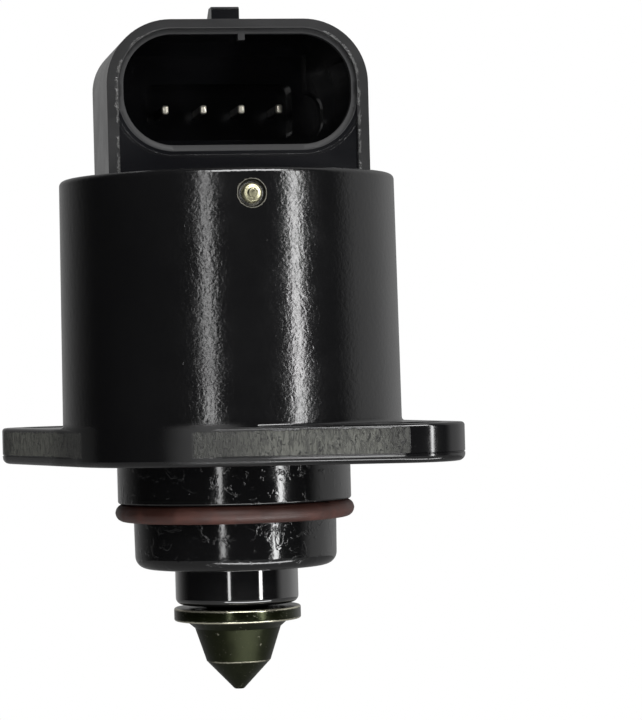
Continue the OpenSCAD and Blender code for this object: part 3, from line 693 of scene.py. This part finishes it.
def lathe(name, profile, segments=240, closed=False, matrix=None):
    """A solid turned from (radius, height) points, about Z unless a matrix turns it."""
    bm = bmesh.new()
    angles = [TAU * k / segments for k in range(segments)]
    rings = []
    for radius, height in profile:
        around = angles if radius > 1e-7 else [0]
        rings.append([bm.verts.new((radius * math.cos(a), radius * math.sin(a), height)) for a in around])
    for low, high in zip(rings, rings[1:]):
        bridge(bm, low, high)
    if closed:
        bridge(bm, rings[-1], rings[0])
    return finished(name, bm, matrix)


def applied(piece):
    """Turns a piece and its modifiers into a plain mesh."""
    graph = bpy.context.evaluated_depsgraph_get()
    mesh = bpy.data.meshes.new_from_object(piece.evaluated_get(graph))
    piece.modifiers.clear()
    piece.data = mesh
    return piece


def combined(piece, operation, *others):
    """Unites, cuts or intersects a piece with others, which are used up."""
    for other in others:
        step = piece.modifiers.new("combine", "BOOLEAN")
        step.operation = operation
        step.solver = "EXACT"
        step.object = other
        applied(piece)
        bpy.data.objects.remove(other)
    return piece


def smoothed(piece, angle=32):
    """Smooth shading between faces that meet at less than an angle, weighted by area."""
    mesh = piece.data
    mesh.polygons.foreach_set("use_smooth", [True] * len(mesh.polygons))
    mesh.set_sharp_from_angle(angle=math.radians(angle))
    weigh = piece.modifiers.new("weigh", "WEIGHTED_NORMAL")
    weigh.keep_sharp = True
    weigh.weight = 80
    return applied(piece)


def painted(piece, material):
    """Gives a piece one material."""
    piece.data.materials.clear()
    piece.data.materials.append(material)
    return piece


def dressed(piece, material, body, slot, *nodes):
    """Gives a new piece its material and body, and hides the CAD nodes it stands for. Its slot argument is
    not used.
    """
    painted(piece, material)
    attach(piece, body)
    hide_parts(*nodes)


def refinish(material, *nodes):
    """Gives CAD nodes a procedural material."""
    for node in nodes:
        painted(NODES[node], material)


def rounded_copy(name, node, width, segments=3):
    """A copy of a CAD node with its edges rounded by a width."""
    piece = placed(name, NODES[node].data.copy())
    bm = bmesh.new()
    bm.from_mesh(piece.data)
    bmesh.ops.remove_doubles(bm, verts=bm.verts, dist=0.002 * MM)
    bmesh.ops.dissolve_limit(bm, angle_limit=math.radians(0.6), verts=bm.verts, edges=bm.edges)
    bm.to_mesh(piece.data)
    bm.free()
    bevel = piece.modifiers.new("edges", "BEVEL")
    bevel.width = width
    bevel.segments = segments
    bevel.limit_method = "ANGLE"
    bevel.angle_limit = math.radians(35)
    bevel.use_clamp_overlap = True
    bevel.miter_outer = "MITER_ARC"
    return smoothed(applied(piece), angle=40)


def turned(angle, reach, height):
    """Matrix that lays an object's Z along a direction from the axis, at a height."""
    return Matrix.Translation((0, 0, height)) @ Matrix.Rotation(angle, 4, "Z") @ Matrix.Translation(
        (reach, 0, 0)) @ Matrix.Rotation(math.pi / 2, 4, "Y")


def ear_flanks(sizes):
    """For each ear, front one first: its middle and the directions that its two flanks face."""
    ears = []
    for side in (1, -1):
        ear = HOLE_MIDDLE + heading(HOLE_LINE) * HOLE_HALF * side
        facing = math.atan2(ear.y, ear.x)
        lean = math.acos((sizes.body_r - sizes.ear_r) / ear.length)
        ears.append((ear, facing - lean, facing + lean))
    return ears


def flange_outline(sizes, inset, steps=40):
    """The flange's outline, drawn in by a distance: ears and straight flanks, ending in the body."""
    root_r = sizes.body_r - inset - 0.01 * MM
    points = []
    for ear, start, end in ear_flanks(sizes):
        points.append(heading(start) * root_r)
        points += [ear + heading(start + (end - start) * k / steps) * (sizes.ear_r - inset)
                   for k in range(steps + 1)]
        points.append(heading(end) * root_r)
        points.append(heading((start + end + math.pi) / 2) * (sizes.body_r * 0.6))
    return points


def stacked(name, levels):
    """A closed solid from outlines at heights; each level is (height, outline)."""
    bm = bmesh.new()
    rings = [[bm.verts.new((p.x, p.y, height)) for p in outline] for height, outline in levels]
    for low, high in zip(rings, rings[1:]):
        bridge(bm, low, high)
    bm.faces.new(rings[0])
    bm.faces.new(rings[-1])
    return finished(name, bm)


def flange_solid(sizes):
    """The flange: rounded at both edges, with the parting groove near its lower face."""
    groove = [
        (sizes.groove_z, 0), (sizes.groove_z + 0.05 * MM, sizes.groove),
        (sizes.groove_z + 0.1 * MM, sizes.groove), (sizes.groove_z + 0.16 * MM, 0)]
    upper = [(sizes.flange_t - drop, inset) for drop, inset in reversed(quarter_round(sizes.flange_lip))]
    return stacked("flange", [
        (height, flange_outline(sizes, inset))
        for height, inset in quarter_round(sizes.flange_edge) + groove + upper])


def root_fillet_solid(sizes):
    """Fillet where the body rises from the ears."""
    fillet, base = sizes.root_fillet, sizes.flange_t
    inner_r, sunk_z = sizes.body_r - 0.6 * MM, base - 0.3 * MM
    curve = [(sizes.body_r + inset, base + height) for height, inset in quarter_round(fillet)]
    ring = lathe("root", [
        (inner_r, sunk_z), (sizes.body_r + fillet, sunk_z), *curve, (inner_r, base + fillet)], closed=True)
    outline = flange_outline(sizes, sizes.flange_edge + 0.02 * MM)
    prism = stacked("prism", [(base - 1 * MM, outline), (base + 2 * MM, outline)])
    return combined(ring, "INTERSECT", prism)


def make_casting(sizes):
    """The whole casting: body, flange, pilot, nose and guide tube, bored out."""
    pilot_z = -sizes.pilot_h
    nose_z = pilot_z - sizes.nose_h
    fine, over, bevel, sunk = 0.1 * MM, 1 * MM, 0.2 * MM, 0.05 * MM
    body = lathe("casting", rounded([
        (0, TUBE_Z, 0), (sizes.tube_r, TUBE_Z, sizes.tube_edge), (sizes.tube_r, nose_z, fine),
        (sizes.nose_low_r, nose_z, sizes.nose_edge), (sizes.nose_r, pilot_z, fine),
        (PILOT_R, pilot_z, 0.22 * MM), (PILOT_R, 0, fine),
        (sizes.body_r, 0, sizes.flange_edge), (sizes.body_r, sizes.flange_t, 0),
        (sizes.body_top_r, RIM_Z, sizes.rim_edge), (0, RIM_Z, 0)], steps=8))
    combined(body, "UNION", flange_solid(sizes), root_fillet_solid(sizes))
    bores = lathe("bores", rounded([
        (0, RIM_Z + over, 0), (sizes.chamber_r + over, RIM_Z + over, 0),
        (sizes.chamber_r + bevel, RIM_Z, 0), (sizes.chamber_r, RIM_Z - bevel, 0),
        (sizes.chamber_r, CHAMBER_FLOOR_Z, 0), (sizes.bearing_r, CHAMBER_FLOOR_Z, 0),
        (sizes.bearing_r, sizes.bearing_floor_z, 0), (sizes.screw_way_r, sizes.bearing_floor_z, 0),
        (sizes.screw_way_r, sizes.guide_top_z, 0), (sizes.tube_bore_r, sizes.guide_top_z, 0),
        (sizes.tube_bore_r, TUBE_Z + bevel - sunk, 0), (sizes.tube_bore_r + bevel, TUBE_Z - sunk, 0),
        (sizes.tube_bore_r + bevel, TUBE_Z - over, 0), (0, TUBE_Z - over, 0)]))
    combined(body, "DIFFERENCE", bores)
    lead_in = 0.25 * MM
    wide_r = HOLE_R + lead_in + over
    for ear, *_ in ear_flanks(sizes):
        hole = lathe("hole", rounded([
            (0, -over, 0), (wide_r, -over, 0), (HOLE_R, lead_in, 0.2 * MM),
            (HOLE_R, sizes.flange_t - lead_in, 0.2 * MM),
            (wide_r, sizes.flange_t + over, 0), (0, sizes.flange_t + over, 0)]),
            segments=96, matrix=Matrix.Translation((ear.x, ear.y, 0)))
        combined(body, "DIFFERENCE", hole)
    outside = 4 * MM
    for angle in PIN_ANGLES:
        pin_hole = lathe("pin_hole", [
            (0, 0), (PIN_HOLE_R, 0), (PIN_HOLE_R, outside), (0, outside)],
            segments=48, matrix=turned(angle, sizes.chamber_r - over, PIN_Z))
        combined(body, "DIFFERENCE", pin_hole)
    return smoothed(body)


def geometry_piece(name, build, values, base=None):
    """A piece made by a node tree: build(graph, inputs) adds the nodes, values are its named inputs,
    and base is a mesh that the tree starts from."""
    tree = bpy.data.node_groups.new(name, "GeometryNodeTree")
    graph = Graph(tree)
    tree.interface.new_socket("Geometry", in_out="INPUT", socket_type="NodeSocketGeometry")
    tree.interface.new_socket("Geometry", in_out="OUTPUT", socket_type="NodeSocketGeometry")
    identifiers = {}
    for label, value in values.items():
        kind = {int: "NodeSocketInt", float: "NodeSocketFloat"}.get(type(value), "NodeSocketMaterial")
        identifiers[label] = tree.interface.new_socket(label, in_out="INPUT", socket_type=kind).identifier
    entry = graph.add("NodeGroupInput")
    inputs = {socket.name: Socket(graph, socket) for socket in entry.outputs if socket.name}
    shape = build(graph, inputs)
    real = graph.get("GeometryNodeRealizeInstances", inputs={"Geometry": shape})
    done = graph.get("GeometryNodeSetMaterial", inputs={"Geometry": real, "Material": inputs["Material"]})
    graph.add("NodeGroupOutput", inputs={"Geometry": done})
    piece = placed(name, base or bpy.data.meshes.new(name))
    modifier = piece.modifiers.new(name, "NODES")
    modifier.node_group = tree
    for label, value in values.items():
        modifier[identifiers[label]] = value
    return applied(piece)


def build_turns(graph, inputs):
    """Turns of wire side by side on a bobbin, over the solid of the layers beneath."""
    line = graph.get("GeometryNodeMeshLine", {"mode": "OFFSET"}, {
        "Count": inputs["Turns"],
        "Start Location": graph.joined(0, 0, inputs["First height"]),
        "Offset": graph.joined(0, 0, inputs["Wire"])}, "Mesh")
    path = graph.get("GeometryNodeCurvePrimitiveCircle", inputs={
        "Resolution": 128, "Radius": inputs["Radius"]}, out="Curve")
    section = graph.get("GeometryNodeCurvePrimitiveCircle", inputs={
        "Resolution": 6, "Radius": inputs["Wire"] * 0.5}, out="Curve")
    turn = graph.get("GeometryNodeCurveToMesh", inputs={"Curve": path, "Profile Curve": section})
    turns = graph.get("GeometryNodeInstanceOnPoints", inputs={"Points": line, "Instance": turn})
    node = graph.add("GeometryNodeJoinGeometry")
    for shape in (turns, inputs["Geometry"]):
        graph.tree.links.new(shape.socket, node.inputs[0])
    return graph.get("GeometryNodeSetShadeSmooth", inputs={"Geometry": Socket(graph, node.outputs[0])})


def build_balls(graph, inputs):
    """Balls at equal steps round a circle."""
    points = graph.get("GeometryNodeMeshCircle", {"fill_type": "NONE"}, {
        "Vertices": inputs["Balls"], "Radius": inputs["Track"]}, "Mesh")
    lifted = graph.get("GeometryNodeTransform", inputs={
        "Geometry": points, "Translation": graph.joined(0, 0, inputs["Height"])})
    ball = graph.get("GeometryNodeMeshUVSphere", inputs={
        "Segments": 40, "Rings": 20, "Radius": inputs["Radius"]}, out="Mesh")
    balls = graph.get("GeometryNodeInstanceOnPoints", inputs={"Points": lifted, "Instance": ball})
    return graph.get("GeometryNodeSetShadeSmooth", inputs={"Geometry": balls})


def build_spring(graph, inputs):
    """A compression spring: closed turns at both ends and open ones between. Its wire is flat."""
    helix = graph.get("GeometryNodeCurveSpiral", inputs={
        "Resolution": 48, "Rotations": inputs["Turns"], "Start Radius": inputs["Radius"],
        "End Radius": inputs["Radius"], "Height": inputs["Length"]})
    along = graph.get("GeometryNodeSplineParameter", out="Factor")
    closed_turns, packing = 0.9, 0.9
    closed = closed_turns / inputs["Turns"]
    rise = inputs["Wire"] * packing
    first = graph.spread(along, 0.0, closed, 0.0, rise, "LINEAR")
    middle = graph.spread(along, closed, 1 - closed, 0.0, inputs["Length"] - rise * 2, "LINEAR")
    last = graph.spread(along, 1 - closed, 1.0, 0.0, rise, "LINEAR")
    x, y, _ = graph.parts(graph.get("GeometryNodeInputPosition"))
    height = inputs["Low end"] + first + middle + last
    path = graph.get("GeometryNodeSetPosition", inputs={
        "Geometry": helix, "Position": graph.joined(x, y, height)})
    path = graph.get("GeometryNodeSetCurveNormal", {"mode": "Z_UP"}, {"Curve": path})
    circle = graph.get("GeometryNodeCurvePrimitiveCircle", inputs={
        "Resolution": 14, "Radius": inputs["Wire"] * 0.5}, out="Curve")
    section = graph.get("GeometryNodeTransform", inputs={
        "Geometry": circle, "Scale": graph.joined(1, inputs["Flattening"], 1)})
    wire = graph.get("GeometryNodeCurveToMesh", inputs={
        "Curve": path, "Profile Curve": section, "Fill Caps": True})
    return graph.get("GeometryNodeSetShadeSmooth", inputs={"Geometry": wire})


def make_lead_screw(sizes):
    """The lead screw: a right-hand thread on a round bar with two flats, thinner at its ends."""
    low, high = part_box("lead_screw")
    crest, flat = (high.x - low.x) / 2, sizes.screw_flats / 2
    around, steepness = 72, 2.7
    low_taper, high_taper, end_drop = 1 * MM, 0.6 * MM, 0.25 * MM
    count = int((high.z - low.z) / (sizes.thread_pitch / 10))
    bm = bmesh.new()
    rings = []
    for level in range(count + 1):
        z = low.z + (high.z - low.z) * level / count
        full = max(0, min(1, (z - low.z) / low_taper, (high.z - z) / high_taper))
        ring = []
        for k in range(around):
            angle = TAU * k / around
            phase = (z / sizes.thread_pitch - k / around) % 1
            depth = sizes.thread_depth * min(1, steepness * (0.5 - abs(phase - 0.5)))
            radius = crest - depth * full - end_drop * (1 - full)
            held = max(-flat, min(flat, radius * math.sin(angle)))
            ring.append(bm.verts.new((radius * math.cos(angle), held, z)))
        rings.append(ring)
    for below, above in zip(rings, rings[1:]):
        bridge(bm, below, above)
    bm.faces.new(rings[0])
    bm.faces.new(rings[-1])
    return smoothed(finished("threaded_screw", bm), angle=30)


def make_pintle(sizes):
    """The pintle: hub, collar, flare, cone and steeper tip in one turned piece."""
    tip, top = (corner.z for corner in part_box("pintle"))
    collar_z, collar_low_z, cone_z, break_z = collar_levels(sizes)
    edge = sizes.collar_edge
    return smoothed(lathe("olive_pintle", rounded([
        (0, top, 0), (sizes.hub_r, top, 0.2 * MM), (sizes.hub_r, collar_z, 0.15 * MM),
        (sizes.collar_r, collar_z, edge), (sizes.collar_r, collar_low_z, edge),
        (sizes.flare_r + 0.4 * MM, collar_low_z, 0.1 * MM),
        (sizes.flare_r, collar_low_z - 0.1 * MM, 0.3 * MM),
        (sizes.cone_r, cone_z, 0.12 * MM), (sizes.cone_low_r, break_z, 0.07 * MM),
        (sizes.tip_r, tip, 0.15 * MM), (0, tip, 0)], steps=5), segments=200), angle=50)


def make_o_ring():
    """The O-ring with its faint mould line inside and outside."""
    low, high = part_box("o_ring")
    cord, middle_z = (high.z - low.z) / 2, (low.z + high.z) / 2
    line, sides = 0.02 * MM, 40
    profile = []
    for k in range(sides):
        reach = cord if k in (0, sides // 2) else cord - line
        point = heading(TAU * k / sides) * reach
        profile.append((high.x - cord + point.x, middle_z + point.y))
    return smoothed(lathe("rubber_ring", profile, segments=192, closed=True), angle=60)


def mouth_lip(sizes):
    """The low lip just inside the socket's mouth."""
    overlap = 0.1 * MM
    bm = bmesh.new()
    rings = []
    for inset, depth in ((-overlap, 0), (sizes.lip_w, 0), (sizes.lip_w, sizes.lip_depth),
                         (-overlap, sizes.lip_depth)):
        half_w, half_h = sizes.mouth_w / 2 - inset, sizes.mouth_h / 2 - inset
        corner = sizes.mouth_corner - inset
        outline = rounded([
            (-half_w, -half_h, corner), (half_w, -half_h, corner),
            (half_w, half_h, corner), (-half_w, half_h, corner)], steps=24, closed=True)
        y = sizes.lip_start + depth - sizes.hood_front
        rings.append([bm.verts.new((p.x, y, mouth_middle_z(sizes) + p.y)) for p in outline])
    for near, far in zip(rings, rings[1:] + rings[:1]):
        bridge(bm, near, far)
    return finished("lip", bm)


def make_pins(sizes):
    """The ends of the three retaining pins: a stepped, domed face with a nub, each in its hole."""
    face = -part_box("cover_pins")[0].y - 0.14 * MM
    shank_h, shank_r, nub_r = 2.6 * MM, 1.15 * MM, 0.32 * MM
    pin_r, soft = sizes.pin_r, 0.1 * MM
    profile = rounded([
        (0, -shank_h, 0), (shank_r, -shank_h, soft), (shank_r, -0.62 * MM, 0.12 * MM),
        (pin_r, -0.56 * MM, soft), (pin_r - 0.02 * MM, -0.24 * MM, soft),
        (pin_r - 0.16 * MM, -0.1 * MM, soft), (nub_r + 0.12 * MM, -0.04 * MM, 0.06 * MM),
        (nub_r, 0.12 * MM, 0.08 * MM), (0, 0.13 * MM, 0)], steps=4)
    bm = bmesh.new()
    for angle in PIN_ANGLES:
        pin = lathe("pin", profile, segments=64, matrix=turned(angle, face, PIN_Z))
        bm.from_mesh(pin.data)
        bpy.data.objects.remove(pin)
    return smoothed(finished("retaining_pins", bm), angle=50)


def make_winding(side, sizes, material):
    """One coil: a solid core of the inner layers under a layer of separate turns."""
    low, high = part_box(f"{side}_winding")
    radius = high.x - sizes.wire / 2
    inner_r = radius - 2.4 * MM
    core = lathe("core", [(inner_r, low.z), (radius, low.z), (radius, high.z), (inner_r, high.z)],
                 segments=128, closed=True)
    mesh = core.data
    bpy.data.objects.remove(core)
    return geometry_piece(f"{side}_turns", build_turns, {
        "Turns": int((high.z - low.z) / sizes.wire), "Wire": sizes.wire, "Radius": radius,
        "First height": low.z + sizes.wire / 2, "Material": material}, mesh)


def make_balls(sizes, material):
    """The bearing's balls in their track."""
    return geometry_piece("steel_balls", build_balls, {
        "Balls": sizes.ball_count, "Track": sizes.ball_track_r, "Radius": sizes.ball_r,
        "Height": sum(c.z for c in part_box("bearing_balls")) / 2, "Material": material})


class VALVE_OT_stage(bpy.types.Operator):
    """Sets the camera, the lamps, the world and the floor"""
    bl_idname = "valve.stage"
    bl_label = "Studio"

    def execute(self, context):
        sizes = context.scene.valve_stage
        place_camera(context.scene, sizes)
        place_lamps(sizes)
        make_world(context.scene, sizes)
        make_floor(sizes)
        context.scene.view_settings.view_transform = "Standard"
        return {"FINISHED"}


class VALVE_OT_casting(bpy.types.Operator):
    """Makes the painted casting with its rounded flange"""
    bl_idname = "valve.casting"
    bl_label = "Casting"

    def execute(self, context):
        sizes = context.scene.valve_casting
        piece = make_casting(sizes)
        piece.name = "painted_casting"
        dressed(piece, gloss_paint("black_paint", sizes), "housing", "housing_paint", "housing")
        return {"FINISHED"}


class VALVE_OT_cover(bpy.types.Operator):
    """Makes the plastic cover, the four contacts and the retaining pins"""
    bl_idname = "valve.cover"
    bl_label = "Cover"

    def execute(self, context):
        sizes = context.scene.valve_cover
        cover = rounded_copy("moulded_cover", "connector_cover", sizes.edge)
        smoothed(combined(cover, "UNION", mouth_lip(sizes)), angle=30)
        dressed(cover, hood_plastic("cover_plastic", sizes), "housing", "cover_plastic", "connector_cover")
        tin = tinned_contact("tinned_contact", tuple(sizes.contact))
        for k in range(1, 5):
            blade = rounded_copy(f"contact_blade_{k}", f"terminal_{k}", sizes.contact_edge, 4)
            dressed(blade, tin, "housing", "contact_metal", f"terminal_{k}")
        pins = make_pins(sizes)
        dressed(pins, pin_end("pin_metal", tuple(sizes.pin)), "housing", "pin_metal", "cover_pins")
        return {"FINISHED"}


class VALVE_OT_motor(bpy.types.Operator):
    """Dresses the stator, the windings, the rotor and its bearings"""
    bl_idname = "valve.motor"
    bl_label = "Motor"

    def execute(self, context):
        sizes = context.scene.valve_motor
        copper = enamelled_wire("enamelled_wire", tuple(sizes.copper))
        for side in ("lower", "upper"):
            winding = make_winding(side, sizes, copper)
            dressed(winding, copper, "housing", "copper_wire", f"{side}_winding")
        steel = turned_metal("ball_steel", (0.62, 0.63, 0.65), 0.08, 0.001 * MM)
        dressed(make_balls(sizes, steel), steel, "bearing_train", "bearing_steel", "bearing_balls")
        refinish(copper, "coil_leads")
        refinish(pressed_steel("plated_steel", (0.6, 0.61, 0.63)),
                 "lower_pole_cup", "lower_pole_plate", "upper_pole_plate", "upper_pole_cup")
        refinish(moulded_plastic("natural_plastic", (0.72, 0.69, 0.6)),
                 "lower_bobbin", "upper_bobbin", "thrust_washer", "screw_guide")
        refinish(ferrite("bonded_magnet", (0.03, 0.03, 0.033)), "rotor_magnet")
        refinish(turned_metal("turned_brass", (0.72, 0.5, 0.2), 0.24), "drive_nut", "bearing_cage")
        refinish(turned_metal("race_steel", (0.6, 0.61, 0.63), 0.12),
                 "bearing_outer_ring", "bearing_inner_ring")
        refinish(pressed_steel("strip_steel", (0.52, 0.53, 0.55), 0.28), "preload_washer")
        refinish(sintered("sintered_bronze", (0.5, 0.31, 0.13)), "rear_bush")
        refinish(soft_rubber("seal_rubber", (0.02, 0.02, 0.021)), "cover_gasket")
        return {"FINISHED"}


class VALVE_OT_plunger(bpy.types.Operator):
    """Makes the lead screw, the return spring, the pintle and the O-ring"""
    bl_idname = "valve.plunger"
    bl_label = "Plunger"

    def execute(self, context):
        motor = context.scene.valve_motor
        sizes = context.scene.valve_pintle
        dressed(make_lead_screw(motor), turned_metal("rolled_steel", (0.5, 0.5, 0.52), 0.22),
                "plunger", "screw_steel", "lead_screw")
        dressed(make_pintle(sizes), olive_metal("olive_coating", sizes),
                "plunger", "pintle_metal", "pintle")
        dressed(make_o_ring(), soft_rubber("brown_rubber", tuple(sizes.ring)),
                "housing", "ring_rubber", "o_ring")
        low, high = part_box("return_spring")
        wire = motor.spring_wire
        steel = turned_metal("spring_steel", (0.55, 0.56, 0.58), 0.18, coat=0.2)
        spring = geometry_piece("wound_spring", build_spring, {
            "Turns": motor.spring_turns, "Radius": motor.spring_r, "Wire": wire,
            "Length": high.z - low.z - wire, "Low end": low.z + wire / 2,
            "Flattening": motor.spring_flat, "Material": steel})
        painted(spring, steel)
        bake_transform(spring)
        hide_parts("return_spring")
        return {"FINISHED"}


def swung(first, second, angle):
    """Two directions turned in their own plane by an angle."""
    return (first * math.cos(angle) + second * math.sin(angle),
            second * math.cos(angle) - first * math.sin(angle))


def place_camera(scene, sizes):
    """A camera that puts the valve's axis where the photograph has it, with no shift."""
    x, y = swung(sizes.axis_x - PICTURE_W / 2, PICTURE_H / 2 - sizes.axis_y, sizes.roll)
    yaw = math.atan2(-x, sizes.focal)
    pitch = math.atan2(-y, sizes.focal / math.cos(yaw))
    ahead = heading(sizes.azimuth + math.pi / 2).to_3d()
    right = heading(sizes.azimuth).to_3d()
    up = Vector((0, 0, 1))
    place = up * sizes.height - ahead * sizes.distance
    ahead, right = swung(ahead, right, yaw)
    ahead, up = swung(ahead, up, pitch)
    right, up = swung(right, up, -sizes.roll)
    lens = bpy.data.cameras.new("camera")
    lens.sensor_fit = "HORIZONTAL"
    lens.sensor_width = 36
    lens.lens = sizes.focal * lens.sensor_width / PICTURE_W
    lens.clip_start = 5 * MM
    camera = placed("camera", lens)
    camera.matrix_world = Matrix.Translation(place) @ Matrix((right, up, -ahead)).transposed().to_4x4()
    scene.camera = camera


def lamp(name, azimuth, elevation, reach, wide, tall, power, middle_z=0.0):
    """A rectangular lamp that looks at the valve from a direction; its angles are in radians."""
    light = bpy.data.lights.new(name, "AREA")
    light.shape = "RECTANGLE"
    light.size = wide
    light.size_y = tall
    light.energy = power
    way = (heading(azimuth - math.pi / 2) * math.cos(elevation)).to_3d()
    way.z = math.sin(elevation)
    thing = placed(name, light)
    thing.matrix_world = Matrix.Translation(way * reach + Vector((0, 0, middle_z))) @ (
        way.to_track_quat("Z", "Y").to_matrix().to_4x4())
    thing.visible_camera = False


def place_lamps(sizes):
    """Two tall strips, a box above that joins them, and a small card near the floor."""
    reach, tall = sizes.lamp_reach, sizes.strip_h
    lamp("left_strip", sizes.strip_left, 0, reach, wide=50 * MM, tall=tall, power=1.05)
    lamp("right_strip", sizes.strip_right, 0, reach, wide=62 * MM, tall=tall, power=3)
    lamp("upper_box", (sizes.strip_left + sizes.strip_right) / 2, math.radians(50), reach,
         wide=500 * MM, tall=300 * MM, power=7)
    lamp("low_card", math.radians(15), math.radians(-37), 70 * MM,
         wide=120 * MM, tall=12 * MM, power=0.055, middle_z=-12 * MM)


def make_world(scene, sizes):
    """White to the camera; a plain grey for light; a dark studio with pale sides in reflections."""
    plain, darkest = 0.2, 0.01
    # Directions in degrees from the camera's side, right ones above 0: start, full, and how pale
    sides = ((76, 98, 0.62), (125, 172, -0.35), (-100, -156, 0.3))
    world = bpy.data.worlds.new("studio")
    world.use_nodes = True
    g = Graph(world.node_tree)
    g.tree.nodes.clear()
    x, y, _ = g.parts(g.get("ShaderNodeTexCoord", out="Generated"))
    across = x * math.cos(sizes.azimuth) + y * math.sin(sizes.azimuth)
    before = x * math.sin(sizes.azimuth) - y * math.cos(sizes.azimuth)
    angle = g.maths("ARCTAN2", across, before)
    level = darkest
    for start, full, paleness in sides:
        level = g.spread(angle, math.radians(start), math.radians(full), 0, paleness) + level
    path = g.add("ShaderNodeLightPath")
    seen, through, mirrored = (
        Socket(g, path.outputs[f"Is {kind} Ray"]) for kind in ("Camera", "Transmission", "Glossy"))
    seen = g.maths("MAXIMUM", seen, through)
    strength = seen + (1 - seen) * (mirrored * level + (1 - mirrored) * plain)
    back = g.get("ShaderNodeBackground", inputs={"Color": (1, 1, 1, 1), "Strength": strength})
    g.add("ShaderNodeOutputWorld", inputs={"Surface": back})
    scene.world = world


def make_floor(sizes):
    """A plain pale round table top under the valve."""
    bm = bmesh.new()
    bmesh.ops.create_circle(bm, cap_ends=True, segments=96, radius=sizes.floor_r)
    floor = finished("floor", bm, Matrix.Translation((0, 0, sizes.floor_z)))
    if floor.data.polygons[0].normal.z < 0:
        floor.data.flip_normals()
    floor.data.materials.append(floor_finish("floor"))


MAKERS = {
    "valve_casting": (CastingSizes, VALVE_OT_casting),
    "valve_cover": (CoverSizes, VALVE_OT_cover),
    "valve_motor": (MotorSizes, VALVE_OT_motor),
    "valve_pintle": (PintleSizes, VALVE_OT_plunger),
    "valve_stage": (StageSizes, VALVE_OT_stage),
}


class VALVE_PT_panel(bpy.types.Panel):
    """The valve's sizes, colours and makers"""
    bl_idname = "VALVE_PT_panel"
    bl_label = "Idle air control valve"
    bl_space_type = "VIEW_3D"
    bl_region_type = "UI"
    bl_category = "Valve"

    def draw(self, context):
        for name, (_, operator) in MAKERS.items():
            box = self.layout.box()
            box.operator(operator.bl_idname)
            settings = getattr(context.scene, name)
            for key in settings.bl_rna.properties.keys():
                if key not in ("rna_type", "name"):
                    box.prop(settings, key)


CLASSES = [*(cls for pair in MAKERS.values() for cls in pair), VALVE_PT_panel]


def register():
    for cls in CLASSES:
        bpy.utils.register_class(cls)
    for name, (group, _) in MAKERS.items():
        setattr(bpy.types.Scene, name, PointerProperty(type=group))


def unregister():
    for name in MAKERS:
        delattr(bpy.types.Scene, name)
    for cls in reversed(CLASSES):
        bpy.utils.unregister_class(cls)


def main():
    register()
    bpy.ops.valve.stage()
    bpy.ops.valve.casting()
    bpy.ops.valve.cover()
    bpy.ops.valve.motor()
    bpy.ops.valve.plunger()


if __name__ == "__main__":
    main()
